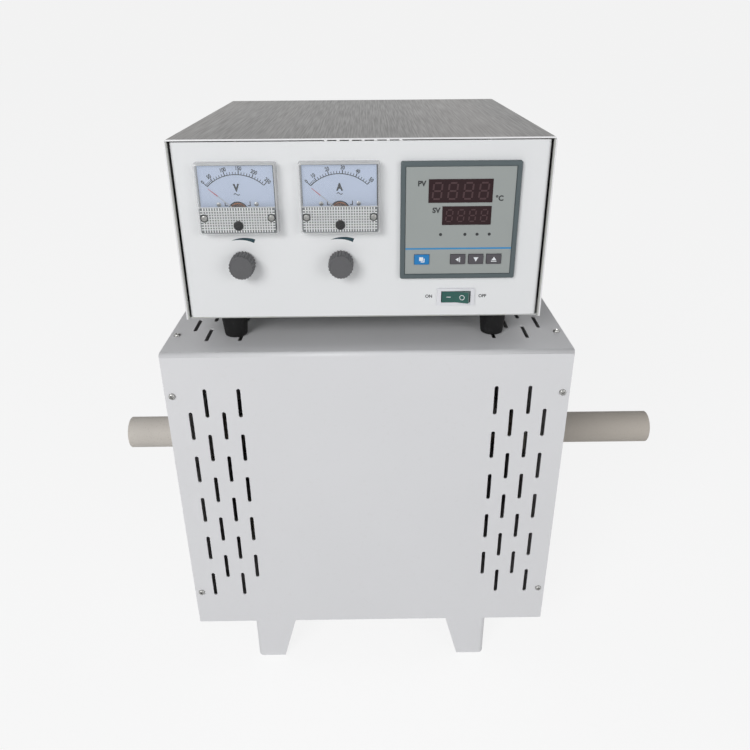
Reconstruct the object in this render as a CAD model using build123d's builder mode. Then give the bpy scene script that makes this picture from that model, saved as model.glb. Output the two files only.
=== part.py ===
from build123d import *
import os
from math import atan, cos, degrees, radians, sin

# Tube furnace with its controller standing on top. Millimetres, front towards -Y, +Z up.
# The origin is on the bench, below the middle of the furnace casing.

# Flats on round pieces that are small or hidden, so that they stay light
pin_sides = 6
head_sides = 8
bar_sides = 10
drum_sides = 20

# Furnace casing
case_width = 360.0
case_depth = 318.0
case_height = 310.5
case_sheet = 1.2
case_bend = 3.5
leg_height = 52.8
plate_inset = 0.5
end_flange = 14.0
base_flange = 12.0

# Ventilation slots
slot_length = 29.0
slot_width = 3.6
slot_edge = 20.5
slot_column_pitch = 15.0
slot_rows = 5
slot_field_edge = 76.75
slot_rise = 1.3

# Casing screws
screw_edge = 6.5
screw_corner = 41.0
screw_head = 6.0
screw_head_height = 2.0
screw_shank = 3.0
screw_length = 6.0
screw_clearance = 0.15

# Legs, folded from one sheet, tapering to the foot
leg_outer = 122.0
leg_setback = 2.0
leg_top_width = 42.5
leg_foot_width = 28.7
leg_sheet = 2.0
leg_bend = 5.0

# Work tube and its collars
tube_diameter = 35.5
tube_wall = 3.0
tube_length = 600.0
tube_shift = 24.0
tube_drop = 16.5
tube_clearance = 0.3
collar_spigot_radius = 28.0
collar_spigot_length = 14.0
collar_flange_radius = 42.0
collar_flange = 6.0
collar_screw_radius = 35.5

# Insulated chamber with heating rods
shell_end_space = 74.0
shell_side_space = 46.0
shell_stand = 25.5
shell_foot = 16.0
chamber_radius = 46.0
chamber_end = 32.0
tube_gap = 1.0
rod_count = 6
rod_ring_radius = 34.0
rod_radius = 4.0
rod_end_radius = 6.5
rod_length = 300.0
rod_hot_length = 140.0
rod_gap = 0.3
link_width = 19.0
link_sheet = 2.0
link_inset = 8.0
link_gap = 0.1

# Thermocouple, terminal block and cable glands
probe_radius = 3.0
probe_gap = 0.2
probe_end_gap = 4.0
probe_flange_radius = 14.0
probe_flange = 3.0
probe_head_radius = 10.0
probe_head = 20.0
block_width = 26.0
block_depth = 60.0
block_height = 18.0
block_poles = 3
block_x = -142.0
gland_radius = 9.0
gland_bore = 4.0
gland_thread = 6.0
gland_nut = 6.0
gland_dome = 8.0
gland_lock = 4.0
gland_fit = 0.1
gland_x = -137.0
gland_rise = 20.0

# Controller box
controller_width = 306.0
controller_depth = 311.0
controller_height = 149.0
controller_sheet = 1.2
controller_bend = 2.4
controller_shift = -2.8
controller_setback = 16.3
panel_recess = 1.5
panel_side_gap = 2.1
panel_gap = 1.0
panel_lift = 0.3
panel_bend = 4.0
panel_return = 12.0
chassis_flange = 15.0
rubber_height = 25.4
rubber_seat = 0.2
rubber_top_radius = 12.5
rubber_foot_radius = 10.0
rubber_x = 117.0
rubber_setback = 28.0
cover_screw_rise = 8.0
cover_screw_corner = 40.0

# Shares of the panel's spare width: left of the voltmeter, between the meters, left of the regulator
left_share = 0.248
meter_share = 0.233
middle_share = 0.220

# Panel meters
meter_z = 104.2
meter_width = 64.0
meter_height = 56.0
meter_front = 10.5
meter_wall = 1.6
meter_glass = 1.5
meter_edge = 1.2
meter_gap = 0.3
meter_flange = 1.5
meter_drum_radius = 25.5
meter_drum_depth = 36.0
meter_stud_radius = 2.0
meter_stud = 10.0
meter_stud_x = 12.5
dial_width = 59.0
dial_top = 25.6
dial_bottom = -9.0
dial_plate = 0.8
dial_level = 5.0
dial_post_x = 16.0
dial_post_y = -6.6
dial_post_radius = 1.8
pivot_y = -10.6
movement_radius = 7.5
movement_gap = 1.0
needle_length = 29.0
needle_tail = 5.0
needle_width = 0.8
needle_thick = 0.4
needle_hub_radius = 2.4
needle_swing = 100.0
spindle_radius = 0.75
spindle_depth = 2.5
spindle_gap = 0.05
needle_gap = 0.3
zero_y = -20.4
zero_radius = 3.95
zero_head = 1.6
zero_gap = 0.1
zero_shaft_radius = 1.6
zero_reach = 2.0
zero_pin_radius = 0.5
zero_pin_offset = 1.0
meter_screw_x = 26.8
meter_screw_y = -14.2
meter_screw_radius = 2.4
meter_screw_head = 1.2
meter_screw_shank = 1.25

# Knobs on their potentiometers
knob_z = 49.8
knob_offset = -0.6
knob_radius = 10.5
knob_height = 15.0
knob_gap = 0.8
knob_flutes = 24
knob_flute_depth = 0.6
knob_recess_radius = 8.2
knob_recess = 6.2
knob_shaft_radius = 3.0
knob_shaft_grip = 7.0
pot_radius = 12.0
pot_depth = 12.0
bushing_radius = 4.6
bushing_length = 6.0
bushing_gap = 0.05
pot_nut_radius = 6.4
pot_nut = 2.4

# Temperature regulator
regulator_z = 83.5
regulator_size = 96.0
regulator_opening = 88.0
regulator_front = 4.0
regulator_edge = 1.0
regulator_body = 90.0
regulator_depth = 78.0
board_thick = 1.6
face_thick = 1.4
face_gap = 0.2
window_width = 51.5
window_height = 18.7
window_y = 24.8
set_window_width = 39.8
set_window_height = 15.2
set_window_x = 5.7
set_window_y = 5.0
window_proud = 0.2
key_width = 12.4
key_height = 8.4
key_y = -31.4
key_places = {"set_key": -30.0, "shift_key": 0.0, "down_key": 15.0, "up_key": 30.0}
key_gap = 0.2
key_travel = 0.8
key_proud = 1.2

# Rocker switch
switch_z = 18.4
switch_width = 32.0
switch_height = 15.0
switch_bezel = 2.0
switch_body_width = 28.4
switch_body_height = 12.8
switch_depth = 18.0
rocker_width = 24.6
rocker_height = 9.6
rocker_gap = 0.3
rocker_well = 7.5
rocker_low = 2.4
rocker_pivot = -1.0
rocker_bottom = -4.5
rocker_tilt = 9.0
trunnion_radius = 1.2
trunnion_length = 0.8
trunnion_gap = 0.05

# Inside the controller
core_width = 78.0
core_depth = 34.0
core_height = 65.0
core_leg = 13.0
coil_bulge = 12.0
coil_gap = 0.2
core_side_space = 19.0
core_back_space = 91.3
sink_width = 110.0
sink_depth = 62.0
sink_base = 6.0
sink_fins = 9
sink_fin = 2.4
sink_fin_height = 22.0
sink_side_space = 28.0
sink_back_space = 97.3
module_width = 92.0
module_depth = 26.0
module_height = 22.0
module_post = 9.0
fuse_side_space = 58.0
fuse_z = 40.0
fuse_radius = 8.5
fuse_cap = 9.0
fuse_body_radius = 6.2
fuse_body = 32.0
rear_gland_z = 28.0
rear_gland_side_space = 48.0
rear_gland_pitch = 45.0
vent_columns = 7
vent_rows = 2
vent_rise = 95.0
vent_row_pitch = 38.0

# Levels and places that follow from the sizes above
case_bottom = leg_height
case_top = leg_height + case_height
case_middle = leg_height + case_height / 2
case_front = -case_depth / 2
base_top = case_bottom + case_sheet
end_face = case_width / 2 - plate_inset
screw_x = case_width / 2 - screw_edge
slot_row_pitch = (case_height - slot_field_edge) / slot_rows
tube_radius = tube_diameter / 2
tube_z = case_middle - tube_drop
tube_hole = tube_radius + tube_clearance
slot_columns = [case_width / 2 - slot_edge - slot_column_pitch * i for i in range(4)]
screw_hole = screw_shank / 2 + screw_clearance
rod_angles = [360 / rod_count * (i + 0.5) for i in range(rod_count)]
shell_length = case_width - 2 * shell_end_space
shell_width = case_depth - 2 * shell_side_space
shell_bottom = base_top + shell_stand
shell_height = 2 * (tube_z - shell_bottom)

controller_front = case_front + controller_setback
controller_back = controller_front + controller_depth
controller_bottom = case_top + rubber_seat + rubber_height
controller_top = controller_bottom + controller_height
panel_front = controller_front + panel_recess
panel_rear = controller_back - panel_recess
panel_bottom = controller_bottom + controller_sheet + panel_lift
panel_width = controller_width - 2 * (controller_sheet + panel_side_gap)
panel_height = controller_top - controller_sheet - panel_gap - panel_bottom
chassis_top = controller_bottom + controller_sheet

spare_width = panel_width - 2 * meter_width - regulator_size
voltmeter_x = -panel_width / 2 + left_share * spare_width + meter_width / 2
ammeter_x = voltmeter_x + meter_width + meter_share * spare_width
regulator_x = ammeter_x + meter_width / 2 + middle_share * spare_width + regulator_size / 2
coarse_x = voltmeter_x + knob_offset
fine_x = ammeter_x + knob_offset
switch_x = regulator_x

core_x = controller_shift + controller_width / 2 - core_side_space - core_width / 2
core_y = controller_back - core_back_space - core_depth / 2
sink_x = controller_shift - controller_width / 2 + sink_side_space + sink_width / 2
sink_y = controller_back - sink_back_space - sink_depth / 2
fuse_x = controller_width / 2 - fuse_side_space
rear_gland_xs = [-controller_width / 2 + rear_gland_side_space + rear_gland_pitch * i for i in range(2)]

meter_inner_width = meter_width - 2 * (meter_wall + meter_gap)
meter_inner_height = meter_height - 2 * (meter_wall + meter_gap)
meter_cavity = meter_front - meter_glass
needle_level = dial_level + dial_plate + needle_gap


def folded_sheet(width, height, sheet, bend):
    """Section of a sheet folded twice, its open side on the sketch's origin and its crown above."""
    Rectangle(width, height, align=(Align.CENTER, Align.MIN))
    fillet(vertices().group_by(Axis.Y)[-1], bend)
    offset(amount=-sheet, mode=Mode.SUBTRACT)
    Rectangle(width - 2 * sheet, sheet, align=(Align.CENTER, Align.MIN), mode=Mode.SUBTRACT)


def flat_round(radius, sides, mode=Mode.ADD):
    """Round profile in flats that stay inside its circle, for pins, bars and drums."""
    RegularPolygon(radius, side_count=sides, mode=mode)


def flat_hole(radius, sides, mode=Mode.ADD):
    """Round hole in flats that stay outside its circle, so that what goes in keeps its clearance."""
    RegularPolygon(radius, side_count=sides, major_radius=False, mode=mode)


def vent_slot():
    """Punched slot, each round end drawn in two flats."""
    straight, half = (slot_length - slot_width) / 2, slot_width / 2
    end = [(half, straight), (0, slot_length / 2), (-half, straight)]
    Polygon(*end, *[(-x, -y) for x, y in end])


def panel_plane(x, z, out=0.0):
    """Plane on the controller's panel, facing out, its place counted from the box's middle and bottom."""
    origin = (controller_shift + x, panel_front - out, controller_bottom + z)
    return Plane(origin=origin, x_dir=(1, 0, 0), z_dir=(0, -1, 0))


def back_plane(x, z, y):
    """Plane that faces backwards, its X to the right as seen from the front."""
    return Plane(origin=(x, y, z), x_dir=(-1, 0, 0), z_dir=(0, 1, 0))


os.makedirs("parts", exist_ok=True)
pieces = []

# Furnace cover: front, top and back folded from one sheet
with BuildPart() as furnace_cover:
    with BuildSketch(Plane.YZ.offset(-case_width / 2)):
        with Locations((0, case_bottom)):
            Rectangle(case_depth, case_height, align=(Align.CENTER, Align.MIN))
        fillet(vertices().group_by(Axis.Y)[-1], case_bend)
        offset(amount=-case_sheet, mode=Mode.SUBTRACT)
        with Locations((0, case_bottom)):
            size = (case_depth - 2 * case_sheet, case_sheet)
            Rectangle(*size, align=(Align.CENTER, Align.MIN), mode=Mode.SUBTRACT)
    extrude(amount=case_width)
    # Slots in columns that sit high and low by turns: four at each end of the front, two of the back
    for plane, columns in (
        (Plane.XZ.offset(case_depth / 2), slot_columns),
        (back_plane(0, 0, case_depth / 2), slot_columns[::2]),
    ):
        with BuildSketch(plane):
            for column in columns:
                high = slot_columns.index(column) % 2
                shift = slot_row_pitch / 4 * (1 if high else -1)
                with Locations((0, case_middle + slot_rise + shift)):
                    with GridLocations(2 * column, slot_row_pitch, 2, slot_rows):
                        vent_slot()
        extrude(amount=-2 * case_sheet, mode=Mode.SUBTRACT)
    # Slots through the top, running front to back
    with BuildSketch(Plane.XY.offset(case_top)):
        for i, column in enumerate(slot_columns):
            with GridLocations(2 * column, slot_row_pitch, 2, slot_rows + i % 2):
                vent_slot()
    extrude(amount=-2 * case_sheet, mode=Mode.SUBTRACT)
    # Screw holes
    with BuildSketch(Plane.XZ):
        with Locations((0, case_middle)):
            with GridLocations(2 * screw_x, case_height - 2 * screw_corner, 2, 2):
                flat_hole(screw_hole, pin_sides)
    extrude(amount=case_depth, both=True, mode=Mode.SUBTRACT)
    with BuildSketch(Plane.XY.offset(case_top)):
        with GridLocations(2 * screw_x, case_depth - 2 * screw_corner, 2, 2):
            flat_hole(screw_hole, pin_sides)
    extrude(amount=-2 * case_sheet, mode=Mode.SUBTRACT)
    # Thermocouple and cable entries in the back
    with BuildSketch(back_plane(0, tube_z, case_depth / 2)):
        flat_hole(probe_radius + probe_gap, bar_sides)
    extrude(amount=-2 * case_sheet, mode=Mode.SUBTRACT)
    with BuildSketch(back_plane(gland_x, case_bottom + gland_rise, case_depth / 2)):
        flat_hole(gland_thread + gland_fit, bar_sides)
    extrude(amount=-2 * case_sheet, mode=Mode.SUBTRACT)
furnace_cover.part.label = "furnace_cover"
pieces.append(furnace_cover)


def end_plate(side):
    """Flanged plate that closes one end of the casing and carries the tube's collar."""
    with BuildPart() as plate:
        with BuildSketch(Plane.YZ.offset(side * end_face)):
            with Locations((0, base_top)):
                size = (case_depth - 2 * case_sheet, case_top - case_sheet - base_top)
                Rectangle(*size, align=(Align.CENTER, Align.MIN))
            fillet(vertices().group_by(Axis.Y)[-1], case_bend - case_sheet)
        extrude(amount=-side * end_flange)
        offset(amount=-case_sheet, openings=plate.faces().sort_by(Axis.X)[0 if side > 0 else -1])
        with BuildSketch(Plane.YZ.offset(side * end_face)):
            with Locations((0, tube_z)):
                flat_hole(collar_spigot_radius + tube_clearance, drum_sides)
                with PolarLocations(collar_screw_radius, 3, start_angle=90):
                    flat_hole(screw_hole, pin_sides)
        extrude(amount=-side * 2 * case_sheet, mode=Mode.SUBTRACT)
        with BuildSketch(Plane.XZ):
            with Locations((side * screw_x, case_middle)):
                with GridLocations(1, case_height - 2 * screw_corner, 1, 2):
                    flat_hole(screw_hole, pin_sides)
        extrude(amount=case_depth, both=True, mode=Mode.SUBTRACT)
        with BuildSketch(Plane.XY.offset(case_top)):
            with Locations((side * screw_x, 0)):
                with GridLocations(1, case_depth - 2 * screw_corner, 1, 2):
                    flat_hole(screw_hole, pin_sides)
        extrude(amount=-3 * case_sheet, mode=Mode.SUBTRACT)
    return plate


end_plate_left = end_plate(-1)
end_plate_left.part.label = "end_plate_left"
end_plate_right = end_plate(1)
end_plate_right.part.label = "end_plate_right"
pieces += [end_plate_left, end_plate_right]

# Base plate with its front and back edges turned up between the end plates
with BuildPart() as base_plate:
    with BuildSketch(Plane.XY.offset(case_bottom)):
        Rectangle(2 * end_face, case_depth - 2 * case_sheet)
    extrude(amount=case_sheet)
    with BuildSketch(Plane.XY.offset(case_bottom)):
        with GridLocations(1, case_depth - 3 * case_sheet, 1, 2):
            Rectangle(2 * (end_face - end_flange - case_sheet), case_sheet)
    extrude(amount=base_flange)
base_plate.part.label = "base_plate"
pieces.append(base_plate)


def leg_square(inset, mode=Mode.ADD):
    """Square that a leg fills in plan, its outer corner on the origin and rounded in flats."""
    radius = leg_bend - inset
    turns = [radians(angle) for angle in (0, 30, 60, 90)]
    corner = [(inset + radius * (1 - cos(turn)), inset + radius * (1 - sin(turn))) for turn in turns]
    far = leg_top_width
    Polygon(*corner, (far, inset), (far, far), (inset, far), mode=mode)


# Legs: folded angles whose free edges slant in to the foot, each with a flange under the base plate
leg_corner = Plane(origin=(-leg_outer, case_front + leg_setback, 0))
leg_front_face = Plane(origin=leg_corner.origin, x_dir=(1, 0, 0), z_dir=(0, -1, 0))
leg_side_face = Plane(origin=leg_corner.origin, x_dir=(0, 1, 0), z_dir=(1, 0, 0))
with BuildPart() as leg_front_left:
    with BuildSketch(leg_corner):
        leg_square(0)
        leg_square(leg_sheet, mode=Mode.SUBTRACT)
    extrude(amount=leg_height)
    for face, depth in ((leg_front_face, -2 * leg_sheet), (leg_side_face, 2 * leg_sheet)):
        with BuildSketch(face):
            Polygon((leg_foot_width, 0), (leg_top_width, 0), (leg_top_width, leg_height))
        extrude(amount=depth, mode=Mode.SUBTRACT)
    with BuildSketch(leg_corner.offset(leg_height)):
        leg_square(0)
    extrude(amount=-leg_sheet)
leg_front_left.part.label = "leg_front_left"
with BuildPart() as leg_front_right:
    mirror(leg_front_left.part, about=Plane.YZ)
leg_front_right.part.label = "leg_front_right"
with BuildPart() as leg_rear_left:
    mirror(leg_front_left.part, about=Plane.XZ)
leg_rear_left.part.label = "leg_rear_left"
with BuildPart() as leg_rear_right:
    mirror(leg_rear_left.part, about=Plane.YZ)
leg_rear_right.part.label = "leg_rear_right"
pieces += [leg_front_left, leg_front_right, leg_rear_left, leg_rear_right]


def screws(plane, places, inset=0.0):
    """Pan-head screws standing on a plane, their shanks through the sheet below."""
    with BuildPart() as row:
        with BuildSketch(plane):
            with Locations(*places):
                flat_round(screw_head / 2, head_sides)
        extrude(amount=screw_head_height)
        with BuildSketch(plane):
            with Locations(*places):
                flat_round(screw_shank / 2, pin_sides)
        extrude(amount=-screw_length - inset)
    return row.part


# Casing screws: front, back and top of the cover, and both end collars
screw_zs = (case_bottom + screw_corner, case_top - screw_corner)
screw_ys = (case_front + screw_corner, -case_front - screw_corner)
side_places = [(x, z) for x in (-screw_x, screw_x) for z in screw_zs]
top_places = [(x, y) for x in (-screw_x, screw_x) for y in screw_ys]
collar_places = [
    (collar_screw_radius * sin(radians(turn)), tube_z + collar_screw_radius * cos(radians(turn)))
    for turn in (0, 120, 240)
]
with BuildPart() as casing_screws:
    add(screws(Plane.XZ.offset(case_depth / 2), side_places))
    add(screws(back_plane(0, 0, case_depth / 2), side_places))
    add(screws(Plane.XY.offset(case_top), top_places))
    for side in (-1, 1):
        origin = (side * (end_face + collar_flange), 0, 0)
        collar_face = Plane(origin=origin, x_dir=(0, side, 0), z_dir=(side, 0, 0))
        add(screws(collar_face, collar_places, inset=collar_flange))
casing_screws.part.label = "casing_screws"
pieces.append(casing_screws)

# Ceramic collars that line the tube's holes in the end plates
with BuildPart() as end_collars:
    for side in (-1, 1):
        with BuildSketch(Plane.YZ.offset(side * end_face)):
            with Locations((0, tube_z)):
                flat_round(collar_flange_radius, 2 * drum_sides)
        extrude(amount=side * collar_flange)
        with BuildSketch(Plane.YZ.offset(side * end_face)):
            with Locations((0, tube_z)):
                flat_round(collar_spigot_radius, drum_sides)
        extrude(amount=-side * collar_spigot_length)
    with BuildSketch(Plane.YZ):
        with Locations((0, tube_z)):
            Circle(tube_hole)
            with PolarLocations(collar_screw_radius, 3, start_angle=90):
                flat_hole(screw_hole, pin_sides)
    extrude(amount=case_width, both=True, mode=Mode.SUBTRACT)
end_collars.part.label = "end_collars"
pieces.append(end_collars)

# Work tube, pushed in from the right and off centre by the shift
with BuildPart() as work_tube:
    with BuildSketch(Plane.YZ.offset(tube_shift - tube_length / 2)):
        with Locations((0, tube_z)):
            Circle(tube_radius)
            Circle(tube_radius - tube_wall, mode=Mode.SUBTRACT)
    extrude(amount=tube_length)
work_tube.part.label = "work_tube"
pieces.append(work_tube)

# Inner shell: a sleeve round the insulation, standing on two folded feet
with BuildPart() as inner_shell:
    with BuildSketch(Plane.YZ.offset(-shell_length / 2)):
        with Locations((0, tube_z)):
            Rectangle(shell_width, shell_height)
            Rectangle(shell_width - 2 * case_sheet, shell_height - 2 * case_sheet, mode=Mode.SUBTRACT)
        with Locations((0, base_top)):
            with GridLocations(shell_width - case_sheet, 1, 2, 1):
                Rectangle(case_sheet, shell_bottom - base_top, align=(Align.CENTER, Align.MIN))
            with GridLocations(shell_width - shell_foot, 1, 2, 1):
                Rectangle(shell_foot, case_sheet, align=(Align.CENTER, Align.MIN))
    extrude(amount=shell_length)
    with BuildSketch(back_plane(0, tube_z, shell_width / 2)):
        flat_hole(probe_radius + probe_gap, bar_sides)
    extrude(amount=-2 * case_sheet, mode=Mode.SUBTRACT)
inner_shell.part.label = "inner_shell"
pieces.append(inner_shell)


def insulation_half(side):
    """Half of the insulating block, above or below the tube's axis."""
    with BuildPart() as half:
        with BuildSketch(Plane.YZ.offset(-shell_length / 2)):
            with Locations((0, tube_z)):
                lean = Align.MIN if side > 0 else Align.MAX
                size = (shell_width - 2 * case_sheet, shell_height / 2 - case_sheet)
                Rectangle(*size, align=(Align.CENTER, lean))
                flat_hole(tube_radius + tube_gap, drum_sides, mode=Mode.SUBTRACT)
                with PolarLocations(rod_ring_radius, rod_count, start_angle=rod_angles[0]):
                    flat_hole(rod_end_radius + rod_gap, pin_sides, mode=Mode.SUBTRACT)
        extrude(amount=shell_length)
        with BuildSketch(Plane.YZ.offset(chamber_end - shell_length / 2)):
            with Locations((0, tube_z)):
                flat_hole(chamber_radius, drum_sides)
        extrude(amount=shell_length - 2 * chamber_end, mode=Mode.SUBTRACT)
        with BuildSketch(back_plane(0, tube_z, shell_width / 2)):
            flat_hole(probe_radius + probe_gap, bar_sides)
        extrude(amount=-shell_width / 2, mode=Mode.SUBTRACT)
    return half


insulation_lower = insulation_half(-1)
insulation_lower.part.label = "insulation_lower"
insulation_upper = insulation_half(1)
insulation_upper.part.label = "insulation_upper"
pieces += [insulation_lower, insulation_upper]

# Heating rods: a thin hot stretch between thick ends that stand out into the end chambers
rod_turns = [radians(angle) for angle in rod_angles]
rod_places = [(rod_ring_radius * cos(turn), tube_z + rod_ring_radius * sin(turn)) for turn in rod_turns]
with BuildPart() as heating_rods:
    with BuildSketch(Plane.YZ):
        with Locations(*rod_places):
            flat_round(rod_radius, pin_sides)
    extrude(amount=rod_length / 2, both=True)
    for side in (-1, 1):
        with BuildSketch(Plane.YZ.offset(side * rod_hot_length / 2)):
            with Locations(*rod_places):
                flat_round(rod_end_radius, pin_sides)
        extrude(amount=side * (rod_length - rod_hot_length) / 2)
heating_rods.part.label = "heating_rods"
pieces.append(heating_rods)


# Links that join the rods in one chain: three at the left end, two at the right
with BuildPart() as rod_links:
    for side, turns in ((-1, (0, 2, 4)), (1, (1, 3))):
        with BuildSketch(Plane.YZ.offset(side * (rod_length / 2 - link_inset))):
            for turn in turns:
                (y1, z1), (y2, z2) = rod_places[turn], rod_places[(turn + 1) % rod_count]
                lie = rod_angles[turn] + 180 / rod_count + 90
                with Locations(((y1 + y2) / 2, (z1 + z2) / 2)):
                    Rectangle(rod_ring_radius + link_width, link_width, rotation=lie)
            with Locations(*rod_places):
                flat_hole(rod_end_radius + link_gap, pin_sides, mode=Mode.SUBTRACT)
        extrude(amount=side * link_sheet)
rod_links.part.label = "rod_links"
pieces.append(rod_links)

# Thermocouple: a sheath from the back into the chamber, with its flange and head outside
probe_tip = tube_radius + probe_end_gap
with BuildPart() as thermocouple:
    with BuildSketch(back_plane(0, tube_z, probe_tip)):
        flat_round(probe_radius, bar_sides)
    extrude(amount=case_depth / 2 - probe_tip)
    with BuildSketch(back_plane(0, tube_z, case_depth / 2)):
        flat_round(probe_flange_radius, drum_sides)
    extrude(amount=probe_flange)
    with BuildSketch(back_plane(0, tube_z, case_depth / 2 + probe_flange)):
        flat_round(probe_head_radius, drum_sides)
    extrude(amount=probe_head)
    chamfer(thermocouple.faces().sort_by(Axis.Y)[-1].edges(), probe_head / 10)
thermocouple.part.label = "thermocouple"
pieces.append(thermocouple)

# Terminal block in the left end chamber
with BuildPart() as terminal_block:
    with BuildSketch(Plane.XY.offset(base_top)):
        with Locations((block_x, 0)):
            Rectangle(block_width, block_depth)
    extrude(amount=block_height)
    pole_pitch = block_depth / block_poles
    with BuildSketch(Plane.XY.offset(base_top + block_height)):
        with Locations((block_x, 0)):
            with GridLocations(1, pole_pitch, 1, block_poles):
                Rectangle(block_width, pole_pitch * 0.7)
    extrude(amount=-block_height / 2, mode=Mode.SUBTRACT)
terminal_block.part.label = "terminal_block"
pieces.append(terminal_block)


def cable_gland(plane, places, wall):
    """Glands with a hexagon and a dome outside, a lock nut inside and an open bore."""
    with BuildPart() as gland:
        for amount, level, radius, sides in (
            (gland_nut, 0.0, gland_radius, 6),
            (-(wall + gland_lock), 0.0, gland_thread, bar_sides),
            (gland_dome, gland_nut, gland_radius * 0.8, bar_sides),
            (-gland_lock, -wall, gland_radius, 6),
        ):
            with BuildSketch(plane.offset(level)):
                with Locations(*places):
                    flat_round(radius, sides)
            extrude(amount=amount)
        with BuildSketch(plane.offset(gland_nut + gland_dome)):
            with Locations(*places):
                Circle(gland_bore)
        extrude(amount=-(gland_nut + gland_dome + wall + gland_lock), mode=Mode.SUBTRACT)
    return gland


entry = [(-gland_x, case_bottom + gland_rise)]
furnace_gland = cable_gland(back_plane(0, 0, case_depth / 2), entry, case_sheet)
furnace_gland.part.label = "furnace_gland"
pieces.append(furnace_gland)

# Controller cover: two sides and the top folded from one sheet
with BuildPart() as controller_cover:
    with BuildSketch(Plane.XZ.offset(-controller_front)):
        with Locations((controller_shift, controller_bottom)):
            Rectangle(controller_width, controller_height, align=(Align.CENTER, Align.MIN))
        fillet(vertices().group_by(Axis.Y)[-1], controller_bend)
        offset(amount=-controller_sheet, mode=Mode.SUBTRACT)
        with Locations((controller_shift, controller_bottom)):
            inside = controller_width - 2 * controller_sheet
            Rectangle(inside, controller_sheet, align=(Align.CENTER, Align.MIN), mode=Mode.SUBTRACT)
    extrude(amount=-controller_depth)
    with BuildSketch(Plane.YZ.offset(controller_shift)):
        with Locations(((controller_front + controller_back) / 2, controller_bottom + cover_screw_rise)):
            with GridLocations(controller_depth - 2 * cover_screw_corner, 1, 2, 1):
                flat_hole(screw_hole, pin_sides)
    extrude(amount=controller_width, both=True, mode=Mode.SUBTRACT)
controller_cover.part.label = "controller_cover"
pieces.append(controller_cover)

# Front panel: a sheet with both ends folded back, cut out for what it carries
fold_level = Plane(
    origin=(controller_shift, panel_front + panel_return, panel_bottom), x_dir=(1, 0, 0), z_dir=(0, 0, -1)
)
with BuildPart() as front_panel:
    with BuildSketch(fold_level):
        folded_sheet(panel_width, panel_return, controller_sheet, panel_bend)
    extrude(amount=-panel_height)
    with BuildSketch(panel_plane(0, 0)):
        with Locations((voltmeter_x, meter_z), (ammeter_x, meter_z)):
            flat_hole(meter_drum_radius + meter_gap, drum_sides)
        with Locations((coarse_x, knob_z), (fine_x, knob_z)):
            flat_hole(bushing_radius + meter_gap, bar_sides)
        with Locations((regulator_x, regulator_z)):
            Rectangle(regulator_body + 2 * meter_gap, regulator_body + 2 * meter_gap)
        with Locations((switch_x, switch_z)):
            Rectangle(switch_body_width + 2 * meter_gap, switch_body_height + 2 * meter_gap)
    extrude(amount=-2 * controller_sheet, mode=Mode.SUBTRACT)
front_panel.part.label = "front_panel"
pieces.append(front_panel)

# Chassis: a tray open at the front and back, its sides turned up inside the cover
tray_level = Plane(
    origin=(controller_shift, panel_front + controller_sheet, controller_bottom + chassis_flange),
    x_dir=(1, 0, 0),
    z_dir=(0, 1, 0),
)
with BuildPart() as chassis:
    with BuildSketch(tray_level):
        tray_width = controller_width - 2 * controller_sheet
        folded_sheet(tray_width, chassis_flange, controller_sheet, controller_bend)
    extrude(amount=panel_rear - panel_front - 2 * controller_sheet)
    with BuildSketch(Plane.YZ.offset(controller_shift)):
        with Locations(((controller_front + controller_back) / 2, controller_bottom + cover_screw_rise)):
            with GridLocations(controller_depth - 2 * cover_screw_corner, 1, 2, 1):
                flat_hole(screw_hole, pin_sides)
    extrude(amount=controller_width, both=True, mode=Mode.SUBTRACT)
chassis.part.label = "chassis"
pieces.append(chassis)

# Back panel: folded like the front one, with vent slots, fuse and gland holes
rear_fold = Plane(
    origin=(controller_shift, panel_rear - panel_return, panel_bottom), x_dir=(1, 0, 0), z_dir=(0, 0, 1)
)
with BuildPart() as back_panel:
    with BuildSketch(rear_fold):
        folded_sheet(panel_width, panel_return, controller_sheet, panel_bend)
    extrude(amount=panel_height)
    with BuildSketch(back_plane(controller_shift, controller_bottom, panel_rear)):
        with Locations((-fuse_x, fuse_z)):
            flat_hole(fuse_body_radius + gland_fit, bar_sides)
        with Locations(*[(-x, rear_gland_z) for x in rear_gland_xs]):
            flat_hole(gland_thread + gland_fit, bar_sides)
        with Locations((0, vent_rise)):
            with GridLocations(slot_column_pitch, vent_row_pitch, vent_columns, vent_rows):
                vent_slot()
    extrude(amount=-2 * controller_sheet, mode=Mode.SUBTRACT)
back_panel.part.label = "back_panel"
pieces.append(back_panel)

# Rubber feet under the controller, tapering down
rubber_places = [
    (controller_shift + side * rubber_x, y)
    for side in (-1, 1)
    for y in (controller_front + rubber_setback, controller_back - rubber_setback)
]
with BuildPart() as rubber_feet:
    with BuildSketch(Plane.XY.offset(controller_bottom)):
        with Locations(*rubber_places):
            flat_round(rubber_top_radius, drum_sides)
    taper = degrees(atan((rubber_top_radius - rubber_foot_radius) / rubber_height))
    extrude(amount=-rubber_height, taper=taper)
rubber_feet.part.label = "rubber_feet"
pieces.append(rubber_feet)

# Screws in the sides of the controller's cover
middle = (controller_front + controller_back) / 2
reach = controller_depth / 2 - cover_screw_corner
edge_places = [(y, controller_bottom + cover_screw_rise) for y in (-reach, reach)]
with BuildPart() as controller_screws:
    for side in (-1, 1):
        origin = (controller_shift + side * controller_width / 2, middle, 0)
        add(screws(Plane(origin=origin, x_dir=(0, side, 0), z_dir=(side, 0, 0)), edge_places))
controller_screws.part.label = "controller_screws"
pieces.append(controller_screws)


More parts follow.
